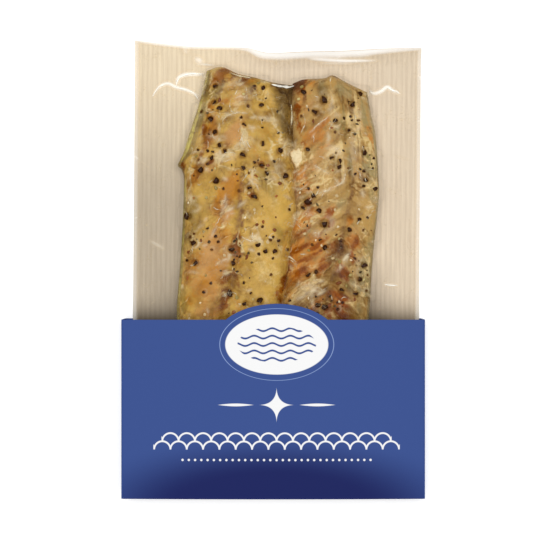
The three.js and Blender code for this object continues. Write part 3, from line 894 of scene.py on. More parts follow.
def fineRelief(fillet, x, y, stationY):  # plates, small flakes, fibres, lumps and a few open cracks
    detail = fleshDetail
    up, out = alongFlakes(fillet, x, y, stationY)
    number, inside, toRight, toUp = plateOf(fillet, x, y, stationY)
    tilt = (number * 7 % 1 - 0.5) * toRight + (number * 13 % 1 - 0.5) * toUp
    seam = np.exp(-(inside / detail["seamWidth"]) ** 2)
    plate = fillet["plateStep"] * (number - 0.5 + 1.6 * tilt) - detail["seamDepth"] * seam
    share = up / detail["finePitch"] + 0.4 * layeredNoise(x, y, 9, fillet["seed"] + 7, 2)
    flake = share - np.floor(share)
    edges = ramp(flake, 0, 0.75) * (1 - ramp(flake, 0.86, 1)) - 0.5
    where = ramp(layeredNoise(x, y, 17, fillet["seed"] + 9, 3), -0.25, 0.45)
    fibres = layeredNoise(up * 2.4, out * 0.35, 1.7, fillet["seed"] + 13, 2)
    lumps = layeredNoise(x, y, detail["lumpSize"], fillet["seed"] + 17, 3)
    cracks = np.maximum(0, 1 - np.abs(layeredNoise(x, y, 12, fillet["seed"] + 19, 3)) / 0.05)
    cracks = cracks * ramp(softNoise(x, y, 16, fillet["seed"] + 21), 0.15, 0.6)
    flakes = (detail["fineDepth"] * edges * where + detail["fibreDepth"] * fibres) * fillet["streaks"]
    flakes = flakes * ramp(np.abs(out), 1.5, 6)
    relief = plate + flakes + detail["lumpDepth"] * (lumps - 0.3) - fillet["cracks"] * cracks
    relief = relief + 0.35 * lengthwiseFolds(fillet, x, y)
    return relief * (1 - 0.65 * calmPlaces(fillet, x, y))


def fleshHeight(fillet, x, y):  # of the flesh itself above the pouch's floor, a little under its film
    across, stationY, fromEnd, halfWidth = placeIn(fillet, x, y)
    body = filletHeight(fillet, x, y)
    edge = np.minimum(1, (1 - np.abs(across)) * 6) * np.clip(fromEnd / 3, 0, 1)
    relief = fineRelief(fillet, x, y, stationY) * np.clip(edge, 0, 1)
    return np.where(body > 0, np.maximum(body - film["clear"] + relief, fleshDetail["least"]), 0)


# Pepper, seeds and crumbs

pepper = {
    "count": 128,
    "tries": 9000,
    "fromX": -52,
    "toX": 58,
    "largest": 1.1,
    "smallest": 0.6,
    "spacing": 3,
    "fromY": -26,
    "toY": 100,
    "edgeShare": 0.93,
    "driftShare": 0.5,
    "driftSpread": 8,
    "sunk": 0.28,  # share of the radius
    "seed": 1867,
    "outlineShare": 1.3,  # of the radius, because the cuts make a piece smaller
    "flat": 0.72,
    "long": 1.25,
    "cuts": 3,
    "dark": (54, 25, 2),
    "light": (106, 64, 24),
    "rough": 0.75,
    "smooth": 25,
    "crumbX": (-54, 59),
    "crumbY": (-32, 102),
    "drifts": [
        (-34, 58), (-7, 50), (-42, 14), (-3, 11), (-20, 2), (23, 36), (51, 54), (39, 77), (46, -2), (28, 8),
        (31, -20),
    ],
}
# The largest pieces, as (x, y, radius)
largePepper = [
    (-30.8, 95.6, 1.1), (-31.3, 86.7, 1.1), (-28.6, 83.4, 1.2), (-33.5, 77.7, 1.4), (-30.8, 70.6, 1.1),
    (-28.2, 63.5, 1.2), (-25.8, 60.8, 1.1), (-15.4, 74.8, 1.1), (-6.3, 85, 1.1), (-5.5, 94.7, 1.1),
    (-5.4, 64.6, 1.1), (-16, 58.6, 1.5), (3.5, 61.1, 1.3), (-5.9, 53.1, 1.1), (-32.8, 57.1, 1.1),
    (-38.8, 51, 1.6), (-30.6, 45.1, 1.6), (-16, 51.8, 1.2), (-3.4, 48.9, 1.1), (6.6, 47.3, 1.4),
    (-12.5, 41.1, 1.1), (-9.6, 36.4, 1.6), (-45.7, 26.2, 1.6), (-42.3, 11.6, 1.2), (-22.3, 8.5, 1.4),
    (-41.2, 1.2, 1.4), (-21.5, 1, 1.2), (-8, 11, 1.2), (-3.9, 7.7, 1.2), (1, 7.2, 1.2), (-23.5, -15.1, 1.9),
    (-14.9, -20.2, 1.3), (-6.9, -18.9, 1.5), (27, 88, 1.7), (16.3, 92.1, 1.3), (22.3, 81.5, 1.4),
    (46.4, 91.6, 1.2), (42.5, 85.8, 1.5), (33.1, 76.8, 1.1), (39.8, 71.7, 1.1), (18.2, 61.5, 1.1),
    (31.3, 57.2, 1.1), (35.7, 55.4, 1.1), (35.1, 52.5, 1.1), (48.6, 60.1, 1.2), (49.5, 45.6, 1.1),
    (54, 40.9, 1.4), (21.8, 36.8, 1.3), (18.6, 33.9, 1.6), (16.2, 30.5, 1.1), (24.3, 28.8, 1.2),
    (27, 22.2, 1.9), (45.7, 24.1, 1.1), (40.6, 18.8, 1.1), (27.8, 9.2, 1.2), (18.8, -5.1, 1.1),
    (23.1, -3.5, 1.1), (48.4, -0.2, 1.6), (46, -7.4, 1.1), (36.6, -13.1, 1.1), (43.9, -15.1, 1.2),
    (23.9, -20.9, 1.2), (27.4, -21.9, 1.6),
]
# The largest pale crumbs, the same way
largeCrumbs = [
    (-3.2, 12.8, 1.5), (-1.3, 14.9, 1.4), (-36.2, -26, 1.2), (-18, -20.7, 1.1), (22.7, 13.3, 1),
    (17.1, 16.9, 1.1), (31.4, 3.7, 1.2), (21.6, -5.3, 1.1), (33.1, 29.6, 1), (45.7, 29.4, 0.9),
    (34.9, -19.2, 0.9),
]
# Each kind: how many, size range, how flat, long and cut, how far it keeps to the drifts, and its looks
smallGrains = {
    "pepper_dust": {
        "count": 54, "radius": (0.35, 0.75), "flat": 0.7, "long": 1.3, "cuts": 3, "driftShare": 0.45,
        "dark": (52, 32, 16), "light": (112, 70, 36), "rough": 0.6,
    },
    "green_seeds": {
        "count": 22, "radius": (0.6, 1.1), "flat": 0.75, "long": 1.25, "cuts": 0, "driftShare": 0.6,
        "dark": (160, 138, 78), "light": (214, 198, 134), "rough": 0.4,
    },
    "rust_flecks": {
        "count": 24, "radius": (0.6, 1.3), "flat": 0.35, "long": 1.7, "cuts": 2, "driftShare": 0.4,
        "dark": (120, 66, 30), "light": (166, 98, 48), "rough": 0.5,
    },
    "herb_bits": {
        "count": 34, "radius": (0.5, 1.1), "flat": 0.3, "long": 2.1, "cuts": 2, "driftShare": 0.7,
        "dark": (62, 46, 24), "light": (112, 92, 52), "rough": 0.6,
    },
    "pale_crumbs": {
        "count": 40, "radius": (0.4, 1), "flat": 0.4, "long": 1.6, "cuts": 1, "driftShare": 0.3,
        "dark": (206, 180, 132), "light": (236, 220, 184), "rough": 0.5,
    },
}


def seededDraws(seed):  # the same repeatable numbers that place the pepper on the solid
    state = seed

    def multiply(a, b):
        return (a * b) & 0xFFFFFFFF

    while True:
        state = (state + 0x6D2B79F5) & 0xFFFFFFFF
        t = multiply(state ^ (state >> 15), 1 | state)
        t = ((t + multiply(t ^ (t >> 7), 61 | t)) & 0xFFFFFFFF) ^ t
        yield ((t ^ (t >> 14)) & 0xFFFFFFFF) / 4294967296


def onFillet(x, y, edgeShare, fromEndLeast=4):
    for fillet in fillets:
        across, stationY, fromEnd, halfWidth = placeIn(fillet, x, y)
        if abs(across) < edgeShare and fromEnd > fromEndLeast:
            return True
    return False


def pepperPlaces():
    draws = seededDraws(pepper["seed"])

    def skipTurns():  # three draws a piece turn it on the solid
        for n in range(3):
            next(draws)

    places = []
    for place in largePepper:
        places.append(place)
        skipTurns()
    for n in range(pepper["tries"]):
        if len(places) == pepper["count"]:
            break
        inDrift = next(draws) < pepper["driftShare"]
        drift = pepper["drifts"][int(next(draws) * len(pepper["drifts"]))]
        radius = blend(pepper["largest"], pepper["smallest"], (len(places) / pepper["count"]) ** 0.7)
        spreadX = (next(draws) + next(draws) - 1) * pepper["driftSpread"]
        spreadY = (next(draws) + next(draws) - 1) * pepper["driftSpread"]
        x = drift[0] + spreadX if inDrift else blend(pepper["fromX"], pepper["toX"], next(draws))
        y = drift[1] + spreadY if inDrift else blend(pepper["fromY"], pepper["toY"], next(draws))
        inRange = pepper["fromY"] < y < pepper["toY"]
        spacing = pepper["spacing"]
        clear = all(math.hypot(px - x, py - y) > spacing * max(pr, radius) for px, py, pr in places)
        if onFillet(x, y, pepper["edgeShare"]) and inRange and clear:
            places.append((x, y, radius))
            skipTurns()
    return places


placedPepper = pepperPlaces()


def torn(a, b, x, y, reach, size, seeds):  # a and b shaken by noise at x and y, which tears patches' edges
    return [value + reach * layeredNoise(x, y, size, seed, 4) for value, seed in zip((a, b), seeds)]


def patchMask(fillet, patches, x, y, up, out, seed):  # patches slant with the flakes
    seeds = fillet["seed"] + seed + 5, fillet["seed"] + seed

    def moved(x, y):
        up, out = alongFlakes(fillet, x, y, placeIn(fillet, x, y)[1])
        return torn(out, up, x, y, 2.6, 7, seeds)

    return strongest(patches, *torn(out, up, x, y, 2.6, 7, seeds), 0.25, 1.6, moved)


def hollows(fillet, x, y, stationY):  # above 0 where the flesh lies lower than around it, below 0 on a ridge
    reach = 1.1
    around = [fineRelief(fillet, x + reach * math.cos(a), y + reach * math.sin(a), stationY)
              for a in (0.5, 2.1, 3.6, 5.2)]
    return sum(around) / len(around) - fineRelief(fillet, x, y, stationY)


def darkRoundGrains(x, y):  # darker, browner flesh round the large grains
    darkening = np.zeros(np.shape(x))
    for middleX, middleY, radius in placedPepper:
        away = np.hypot(x - middleX, y - middleY) / radius
        darkening = np.maximum(darkening, 1 - ramp(away, 0.9, 1.9))
    return darkening


def valleyShade(fillet, x, y):  # the dark glossy dip between the fillets, with darker flesh and painted shade
    start = through(fillet["valley"], y)
    low, high = fillet["valleyFade"]
    place = x + fillet["valleyWobble"] * layeredNoise(x, y, 6, 63, 3)
    return through(fillet["valleyShade"], y) * ramp(place, start + low, start + high)


def threads(x, y, size, seed, width):  # 1 along thin wandering lines
    return np.clip(1 - np.abs(layeredNoise(x, y, size, seed, 3)) / width, 0, 1)


# Which noise tears the edges of each colour's patches
patchSeeds = {"amber": 41, "rust": 45, "peach": 49, "cream": 51, "olive": 55, "violet": 61}


def colourFillet(piece, fillet, x, y, across, stationY, halfWidth, height):
    seed, streaked = fillet["seed"], fillet["streaks"]
    up, out = alongFlakes(fillet, x, y, stationY)
    masks = {name: patchMask(fillet, fillet[name + "Patches"], x, y, up, out, patchSeed)
             for name, patchSeed in patchSeeds.items()}
    number, inside, toRight, toUp = plateOf(fillet, x, y, stationY)
    calm = calmPlaces(fillet, x, y)
    # painted shade where the relief lies low, and painted light, paler and creamier, on its ridges
    hollowShade = hollows(fillet, x, y, stationY)
    alongLine = 0.5 * np.exp(-(out / 2.2) ** 2)
    # painted shade with darker flesh in the valley and along the inner edge
    masks["dark_and_shade"] = np.maximum(valleyShade(fillet, x, y), 0.3 * ramp(across, 0.86, 0.99))
    # darker round the large grains, and painted shade with darker flesh on the low part towards the sleeve
    darkenedAndShaded = 0.4 * darkRoundGrains(x, y) + fillet["lowShade"] * ramp(-y, -22, 24)
    # Skin down the outer side, with its bright rim: a yellow fat edge and a painted highlight
    fromOuter = (across + 1) * halfWidth
    skinWidth = through(fillet["skinWidth"], stationY)
    skin = 1 - ramp(fromOuter, 0.7 * skinWidth, 1.2 * skinWidth)
    rim = 1 - ramp(fromOuter, np.maximum(1.2, 0.3 * skinWidth), np.maximum(2.4, 0.55 * skinWidth))
    rim *= (0.45 + 0.65 * np.exp(-((y - 69) / 13) ** 2)) * ramp(fromOuter, -0.4, 0.3)
    rim *= 1 - 0.8 * np.exp(-((y - 50) / 4) ** 2)
    # From here on the places run down the sides, so that the noise isn't drawn out there
    fromSide = (1 - np.abs(across)) * halfWidth
    endShare = fromSide / (fromSide + np.abs(placeIn(fillet, x, y)[2]) + 0.1)
    drop = np.maximum(0.85 * through(fillet["height"], stationY) - height, 0)
    down = drop * np.sign(out) * (1 - endShare)
    x, y = x + down, y + drop * endShare
    up, out = up + filletShape["flakeSlope"] * np.abs(down) + drop * endShare, out + down
    streaks = layeredNoise(up, out * 0.3, 3.2, seed + 31, 3) * streaked
    blotches = layeredNoise(x, y, 11, seed + 33, 3)
    spots = ramp(layeredNoise(x, y, 4.5, seed + 35, 3), 0.35, 0.75)
    seams = np.exp(-(inside / 0.13) ** 2) * ramp(layeredNoise(x, y, 13, seed + 37, 3), -0.2, 0.3) * (1 - calm)
    wrinkled = (0.25 + 0.75 * ramp(layeredNoise(x, y, 10, seed + 54, 3), -0.3, 0.4)) * (1 - 0.85 * calm)
    # pale lines: painted highlights of film wrinkles, with pale lines along the flakes; dark lines: painted
    # shadow beside the pale ones, with thin dark threads
    flakeThreads = threads(up * 1.5, out * 0.7, 4.5, seed + 84, 0.14) * ramp(np.abs(out), 2, 7)
    pale = np.maximum(threads(x, y, 6, seed + 81, 0.12), flakeThreads * streaked)
    dark = np.maximum(threads(x + 0.5, y - 0.5, 6, seed + 81, 0.1), threads(x, y, 8, seed + 87, 0.06))
    folds = lengthwiseFolds(fillet, x, y)
    masks["peach"] += 0.2 * blotches
    masks["amber"] += 0.2 * (number - 0.6) + 0.3 * streaks + 0.2 * blotches
    masks["rust"] += 0.3 * streaks + 0.3 * spots * (number > 0.75)
    masks["violet"] = np.maximum(masks["violet"], alongLine * ramp(softNoise(x, y, 9, seed + 57), -0.5, 0.4))
    masks["cream"] += fillet["paleSeams"] * seams - 0.35 * hollowShade + 1.2 * np.maximum(folds, 0) - 0.08
    masks["cream"] += 0.75 * pale * wrinkled * (1 - 0.8 * np.clip(masks["violet"] + masks["rust"], 0, 1))
    masks["olive"] += 0.25 * (number * 5 % 1 > 0.8) + 0.25 * blotches * (1 - calm)
    masks["olive"] += 1.1 * np.maximum(-folds, 0)
    masks["skin"] = skin * (0.75 + 0.25 * blotches)
    masks["rim"] = rim * (1 + 0.4 * layeredNoise(x, y, 5, seed + 91, 3))
    # Smoky mottling, from 0 for dark brown to 1 for bare
    broad = layeredNoise(x + 0.4 * y, y - 0.3 * x, 8, seed + 71, 4)
    close = layeredNoise(x, y, 3, seed + 75, 3)
    close = blend(close, layeredNoise(up * 1.2, out * 0.7, 2.8, seed + 75, 3), streaked)
    swing = fillet["mottling"] * (0.32 * broad + 0.36 * close)
    mottle = fillet["bare"] + swing * (1 - 0.55 * calm) + 0.22 * calm
    mottle -= 0.7 * np.clip(hollowShade, -0.15, 1) + darkenedAndShaded - 0.15 * (number * 11 % 1 - 0.5)
    mottle -= fillet["shadowAndDarkThreads"] * dark * wrinkled - fillet["paintedLightSide"] * ramp(-across, 0.55, 0.95)
    mottle -= 0.45 * foldedPlaces(fillet, x, y) * threads(x + 0.08 * y, 0.12 * y, 3, seed + 29, 0.14)
    masks["mottle"] = mottle
    for name, values in masks.items():
        setMask(piece, name, values)


def makeFillet(fillet):
    detail = fleshDetail
    piece, share, rowShare = addGrid(fillet["name"], detail["columns"], detail["rows"])
    # The points lie closer on the steep sides and at the head end
    side = 2 * share - 1
    across = side * (1.5 - 0.5 * side ** 2)
    shown = np.clip((rowShare - detail["hiddenRows"]) / (1 - detail["hiddenRows"]), 0, 1)
    eased = shown + 0.7 * shown ** 2 * (1 - shown)
    hidden = np.minimum(rowShare / detail["hiddenRows"], 1) * detail["hiddenLength"]
    along = hidden + eased * (1 - detail["hiddenLength"])
    stationY = blend(fillet["tail"], fillet["headMean"], along)
    outerX, innerX = through(fillet["outer"], stationY), through(fillet["inner"], stationY)
    x = blend(outerX, innerX, (across + 1) / 2)
    y = blend(fillet["tail"], through(fillet["head"], x), along)
    # Heights are read a hair inside the outline, because past it there are none
    readX = blend(through(fillet["line"], stationY), x, 0.9995)
    readY = np.maximum(y, fillet["tail"] + 0.02) - 0.01
    height = fleshHeight(fillet, readX, readY)
    colourFillet(piece, fillet, x, y, across, stationY, np.abs(innerX - outerX) / 2, height)
    writePoints(piece, x, y, restHeight(y) + pouchFloor + np.maximum(height, detail["least"]))
    closeUnderside(piece)
    facesOutwards(piece)
    smoothShade(piece)
    return piece


def closeUnderside(piece):  # the rim is drawn down to the back sheet, and closed there
    pickOnly(piece)
    bpy.ops.object.mode_set(mode="EDIT")
    bpy.ops.mesh.select_all(action="SELECT")
    bpy.ops.mesh.region_to_loop()
    drop = (0, 0, -fleshDetail["rimDrop"] * mm)
    bpy.ops.mesh.extrude_region_move(TRANSFORM_OT_translate={"value": drop})
    bpy.ops.mesh.edge_face_add()
    bpy.ops.object.mode_set(mode="OBJECT")


# Colours over the gold, in the order in which they cover each other, with how much noise breaks each one up
fleshColours = {
    "Olive": (0.9, 0.5),
    "Peach": (1.0, 0.4),
    "Amber": (1.1, 0.75),
    "Rust": (1.4, 1.0),
    "Violet": (0.8, 0.6),
    "Cream": (0.8, 0.7),
    "Skin": (0.5, 0.4),
    "Rim": (0.4, 0.5),
    "Dark_and_shade": (0.6, 0.4),
}
mottling = {"smoky": (148, 122, 74), "bare": (0.94, 0.91, 0.88, 1)}


def makeFleshGroup():
    colours = {name: "Color" for name in ("Gold", *fleshColours)}
    masks = {name + " Mask": "Float" for name in (*fleshColours, "Mottle")}
    outputs = {"Colour": "Color", "Height": "Float", "Rough": "Float"}
    group, start, end = newGroup("smokedFlesh", {**colours, **masks}, outputs)
    place = objectPlace(group)
    broad = minus(noise(place, 260, 4, 0.6, 0.4), 0.5)
    close = minus(noise(place, 900, 4, 0.65, 0.6), 0.5)
    fine = noise(place, 3200, 3, 0.6)
    colour = start["Gold"]
    for name, (broadSwing, closeSwing) in fleshColours.items():
        given = start[name + " Mask"]
        amount = plusTimes(plusTimes(given, broad, broadSwing), close, closeSwing)
        # Noise alone never brings a colour out where its mask is nothing
        amount = calc("MULTIPLY", softStep(amount, 0.12, 0.92), softStep(given, 0.0, 0.2), clamp=True)
        colour = mixColour(amount, colour, start[name])
    mottle = plusTimes(plusTimes(start["Mottle Mask"], close, 0.4), broad, 0.3)
    mottle = plusTimes(mottle, minus(fine, 0.5), 0.1)
    tint = mixColour(softStep(mottle, -0.25, 1.0), srgb(*mottling["smoky"]), mottling["bare"])
    group.links.new(shaded(colour, tint), end["Colour"])
    group.links.new(plusTimes(close, fine, 0.35), end["Height"])
    group.links.new(plusTimes(0.5, close, 0.3), end["Rough"])
    return group


smokedFlesh = makeFleshGroup()


def makeFleshMaterial(fillet):
    scattering = {"Subsurface_Weight": 0.12, "Subsurface_Scale": mm, "Subsurface_Radius": (1.0, 0.5, 0.2)}
    material, tree, shader = newMaterial(fillet["name"] + "_flesh", Specular_IOR_Level=0.06, **scattering)
    inputs = {"Gold": srgb(*fillet["gold"]), "Mottle Mask": mask(tree, "mottle")}
    for name in fleshColours:
        inputs[name] = srgb(*fillet[name.lower()])
        inputs[name + " Mask"] = mask(tree, name.lower())
    made = useGroup(tree, smokedFlesh, **inputs)
    feed(shader, Base_Color=made["Colour"], Roughness=made["Rough"], Normal=bump(made["Height"], 0.5, 0.25))
    return material


for fillet in fillets:
    handIn(makeFillet(fillet), "smoked_mackerel", "filled_pouch", makeFleshMaterial(fillet))


def grainShapes(cuts, seed, count=6):  # cracked grains, cut from small balls
    shapes = []
    rng = np.random.default_rng(seed)
    for n in range(count):
        pickOnly()
        bpy.ops.mesh.primitive_ico_sphere_add(subdivisions=2, radius=1)
        ball = bpy.context.object
        bpy.ops.object.mode_set(mode="EDIT")
        bpy.ops.mesh.select_all(action="SELECT")
        bpy.ops.transform.vertex_random(offset=0.13, uniform=0.4, normal=0.3, seed=seed + n)
        for cut in range(cuts):
            normal = rng.normal(size=3)
            normal[2] = abs(normal[2]) * 0.7
            normal /= np.linalg.norm(normal)
            bpy.ops.mesh.select_all(action="SELECT")
            middle = normal * rng.uniform(0.35, 0.7)
            bpy.ops.mesh.bisect(plane_co=middle, plane_no=normal, use_fill=True, clear_outer=True)
        bpy.ops.object.mode_set(mode="OBJECT")
        shapes.append((readPoints(ball), [tuple(face.vertices) for face in ball.data.polygons]))
        bpy.data.objects.remove(ball)
    return shapes


def makeGrainMaterial(name, kind):
    material, tree, shader = newMaterial(name + "_skin", Roughness=kind["rough"], Specular_IOR_Level=0.1)
    colour = mixColour(softStep(mask(tree, "tint"), 0.35, 1.0), srgb(*kind["dark"]), srgb(*kind["light"]))
    grainFinish(shader, colour, 1500.0, 0.9, 0.8, 0.15)
    return material


def scatterGrains(name, kind, places, shapeSeed, seed):  # places are (x, y, z, radius)
    shapes = grainShapes(kind["cuts"], shapeSeed)
    rng = np.random.default_rng(seed)
    points, faces, tints = [], [], []
    used = 0
    for x, y, z, radius in places:
        shapePoints, shapeFaces = shapes[rng.integers(len(shapes))]
        sizes = [rng.uniform(1, kind["long"]), rng.uniform(0.8, 1), kind["flat"] * rng.uniform(0.85, 1.15)]
        turn, lean = rng.uniform(0, 2 * math.pi), rng.normal(0, 0.15)
        own = shapePoints * np.array(sizes) * radius / math.sqrt(sizes[0])
        leaned = own[:, 2] + own[:, 0] * lean
        turnedX, turnedY = turned(own[:, 0], own[:, 1], turn)
        points.append(np.stack([turnedX + x, turnedY + y, leaned + z], axis=1))
        faces += [tuple(used + v for v in face) for face in shapeFaces]
        palest = min(max(1.6 - 0.7 * radius, 0.25), 1)  # the largest are the darkest
        tints.append(np.full(len(own), rng.random() * palest))
        used += len(own)
    mesh = bpy.data.meshes.new(name)
    mesh.from_pydata((np.concatenate(points) * mm).tolist(), [], faces)
    mesh.update()
    piece = linkNew(name, mesh)
    setMask(piece, "tint", np.concatenate(tints))
    facesOutwards(piece)
    smoothShade(piece, kind.get("smooth", 30))
    handIn(piece, "cracked_pepper", "filled_pouch", makeGrainMaterial(name, kind))


def fleshTop(x, y):  # above the table
    return restHeight(y) + pouchFloor + max(float(fleshHeight(fillet, x, y)) for fillet in fillets)


def makePeppercorns():
    places = []
    for x, y, radius in placedPepper:
        middle = fleshTop(x, y) - radius * pepper["sunk"] + film["clear"]
        places.append((x, y, float(middle), radius * pepper["outlineShare"]))
    scatterGrains("cracked_pepper", pepper, places, 3, 5)
    return places


def onFlesh(x, y, radius, kind):
    return float(fleshTop(x, y) + radius * kind["flat"] * 0.3)


def smallPlaces(kind, seed, taken, places):
    rng = np.random.default_rng(seed)
    drifts = pepper["drifts"]
    while len(places) < kind["count"]:
        if rng.random() < kind["driftShare"]:
            drift = drifts[rng.integers(len(drifts))]
            x, y = rng.normal(drift[0], 5), rng.normal(drift[1], 6)
        else:
            x, y = rng.uniform(*pepper["crumbX"]), rng.uniform(*pepper["crumbY"])
        radius = rng.uniform(*kind["radius"])
        clear = all(math.hypot(px - x, py - y) > (pr + radius) * 0.85 for px, py, pz, pr in taken + places)
        if onFillet(x, y, 0.9, 3) and y > pepper["crumbY"][0] and clear:
            places.append((x, y, onFlesh(x, y, radius, kind), radius))
    return places


def makeSmallGrains(taken):
    for n, (name, kind) in enumerate(smallGrains.items()):
        placed = largeCrumbs if name == "pale_crumbs" else []
        placed = [(x, y, onFlesh(x, y, radius, kind) - 0.3 * radius, radius) for x, y, radius in placed]
        places = smallPlaces(kind, 70 + n, taken, placed)
        scatterGrains(name, kind, places, 20 + n, 90 + n)
        taken = taken + places
    return taken


grains = makeSmallGrains(makePeppercorns())

creamFlake = {
    "x": 13.1,
    "y": 57.6,
    "halfWidth": 3.6,
    "halfLength": 5,
    "halfHeight": 1.5,
    "lean": 14,
    "cream": (240, 218, 172),
    "edge": (206, 166, 104),
}


def makeCreamFlake():  # a lump of pale flesh that has come off beside the gap
    pickOnly()
    bpy.ops.mesh.primitive_ico_sphere_add(subdivisions=6, radius=1)
    piece = bpy.context.object
    piece.name = "cream_flake"
    own = readPoints(piece)
    lumps = 1 + 0.3 * layeredNoise(own[:, 0] * 3 + 5, own[:, 1] * 3 + own[:, 2], 1.3, 8, 3)
    halfSizes = [creamFlake[name] for name in ("halfWidth", "halfLength", "halfHeight")]
    x, y, z = (own * lumps[:, None] * halfSizes).T
    turnedX, turnedY = turned(x, y, math.radians(creamFlake["lean"]))
    middle = fleshTop(creamFlake["x"], creamFlake["y"])
    setMask(piece, "core", own[:, 2] + 0.25 * layeredNoise(x, y, 2, 9, 3))
    writePoints(piece, turnedX + creamFlake["x"], turnedY + creamFlake["y"], z + middle)
    smoothShade(piece)
    material, tree, shader = newMaterial("creamFlesh", Roughness=0.5, Specular_IOR_Level=0.2)
    core = softStep(mask(tree, "core"), 0.1, 0.75)
    colour = mixColour(core, srgb(*creamFlake["edge"]), srgb(*creamFlake["cream"]))
    grainFinish(shader, colour, 420.0, 0.35, 0.4, 0.2)
    handIn(piece, "smoked_mackerel", "filled_pouch", material)
    return creamFlake["x"], creamFlake["y"], float(middle), creamFlake["halfWidth"]


grains.append(makeCreamFlake())


# Clear film, tight over the fillets and the pepper, and down on the back sheet round them

filmDetail = {
    "pitch": 0.4,  # of the raster that the film's height is worked out on
    "columns": 330,
    "rows": 300,
    # The columns lie closer over the fillets, as (share of the columns, share of the width)
    "columnShares": [(0, 0), (0.13, 0.155), (0.87, 0.89), (1, 1)],
    "hiddenRows": 0.05,  # share of the rows in the sleeve
    "low": (-80, -120),
    "high": (82, 124),
    "valleyX": 10,
    "shownX": (-52, 57),
    "shownY": (-30, 101),
    "topMean": 119,  # y of the top edge on average
    "lift": 0.1,  # above the sheet
    "tentSlope": 0.5,
    "tentReach": 5,
    "haloStrength": (-0.5, 0.3),  # below 0 for no halo
    "haloShift": 0.45,
    # painted highlights and reflections on the film's whitish places, and its painted glare, which glows
    "white": (255, 234, 188),
    "glare": (255, 253, 246),
    "glareGlow": 0.22,
    "shine": 0.003,  # share of light that the film mirrors head on
}
# Soft folds of the film as lines through points, each with its width, rise and the strength of its painted
# highlight
softFolds = [
    ([(-52.4, 97), (-51.5, 101.5), (-46.5, 103.6), (-36.8, 103.3)], 1.25, 0.2, 0.85),
    ([(-65.3, 91.5), (-61.5, 97), (-57, 98.6), (-52.6, 96.7), (-46.5, 95),
      (-41, 91.7), (-40, 88.5)], 1.15, 0.2, 0.8),
    ([(-36.6, 104), (-37, 98), (-39.4, 90)], 1.5, 0.3, 0.9),
    ([(-42, 109), (-36, 108.8), (-30.5, 107.8)], 0.8, 0.3, 0.6),
    ([(51.5, 95.5), (54.2, 93.2), (58.6, 94.4), (61.9, 96.7), (65.3, 94.7), (68.6, 93)], 1.25, 0.2, 0.85),
    ([(60.4, -10.2), (67.6, -10.8)], 1.0, 0.2, 0.45),
    ([(-67, 13.5), (-59, 9)], 1.1, 0.2, 0.35),
    ([(-48.2, 116.4), (-46.5, 115.4)], 1.6, 0.3, 0.4),
    ([(-42, 112), (-38.5, 110.4)], 2, 0.3, 0.6),
    ([(19, 111.4), (38, 110.6), (57, 110.9)], 0.8, 0.4, 1.0),
    ([(24, 109.3), (45, 109.2)], 0.7, 0.3, 0.5),
    ([(-76, 60), (-66, 52)], 0.5, 0.25, 0.2),
    ([(64, 60), (74, 57)], 0.5, 0.25, 0.2),
    ([(-40.2, 60), (-39, 66), (-38, 71.5), (-36.6, 77), (-35.4, 83)], 0.6, 0.2, 0.35),
    ([(-46, 57), (-41, 55), (-36, 57)], 1.2, 0.2, 0.35),
    ([(40.8, 7.2), (37.7, 2.2), (34.2, -2.6)], 1.3, 0.25, 1.1),
    ([(29, 18.8), (25.5, 17.6), (21.7, 14.6)], 1.3, 0.3, 0.8),
    ([(22.5, 52.4), (26, 50.2), (30.2, 48.8)], 1.2, 0.3, 0.7),
    ([(-31.5, 57.5), (-27, 57.3), (-19, 59)], 1.5, 0.2, 0.6),
    ([(-16, 14), (-11.5, 12.9), (-8, 12.5)], 1.2, 0.25, 0.6),
    ([(-26.8, 75.5), (-25.4, 79), (-21, 80.8), (-14, 81.2)], 1.3, 0.25, 0.8),
    ([(-15.6, 71.5), (-16, 67), (-15, 63.5)], 1.2, 0.2, 0.5),
    ([(-8.5, 78.6), (-2, 78.4)], 1.2, 0.25, 0.6),
    ([(17.5, 26), (21, 27), (26, 27.6)], 0.8, 0.25, 0.6),
    ([(9.5, 66.4), (11, 64.6), (12.6, 66.8)], 0.8, 0.3, 0.7),
    ([(24, 93.6), (24.2, 96), (27, 97.4)], 0.7, 0.25, 0.15),
    ([(10.4, 48), (12, 43), (13, 37), (12, 31)], 0.9, 0.2, 0.4),
    ([(8.3, 4.6), (10, 3), (12.2, 0.6)], 0.9, 0.25, 0.7),
    ([(14.5, -9.6), (17, -10.4), (19, -12.5)], 0.9, 0.25, 0.5),
    ([(17.5, 35), (24, 38), (31.3, 41), (37.4, 45), (38.8, 52.6)], 1.1, 0.2, 0.8),
    ([(19.3, 70.2), (24, 75), (29.3, 78.7)], 0.9, 0.2, 0.7),
]
# Milky places of painted reflection, where the film stands off the flesh a little: (x, y, half length, half
# width, strength)
milkPatches = [
    (-27, 57.5, 3.5, 7, 0.6), (-32, 69, 3, 3, 0.5), (-15, 65, 7, 2.5, 0.4), (-10, 47, 5, 5, 0.3),
    (3, 50, 7, 6, 0.35), (-3, 78, 2, 5, 0.5), (-45, 35, 7, 3, 0.25), (-43, 14, 5, 4, 0.25),
    (7, 62, 5, 4, 0.4), (12, 42, 10, 2, 0.1), (11, 24, 3, 2, 0.4), (32, 60, 4, 5, 0.5),
    (49, 46, 9, 3, 0.25), (24, 17, 3, 5, 0.4), (46, -6, 9, 4, 0.35), (18, -13, 4, 6, 0.45),
    (-25, 26, 6, 4, 0.15), (-11, 13, 2.5, 4, 0.5), (23, 83, 3, 3, 0.5), (27, 91, 2.5, 3, 0.2),
    (-14, 91, 6, 3, 0.35), (4, 80, 10, 3, 0.12), (32, 80, 4, 3, 0.3), (42, 62, 14, 2.5, 0.35),
    (-29, 1, 2, 2.5, 0.3), (-25, -4, 2, 3, 0.5), (44, 84, 8, 3, 0.25), (-20, 97, 3, 5, 0.3),
    (-38, 53, 5, 4, 0.15),
]
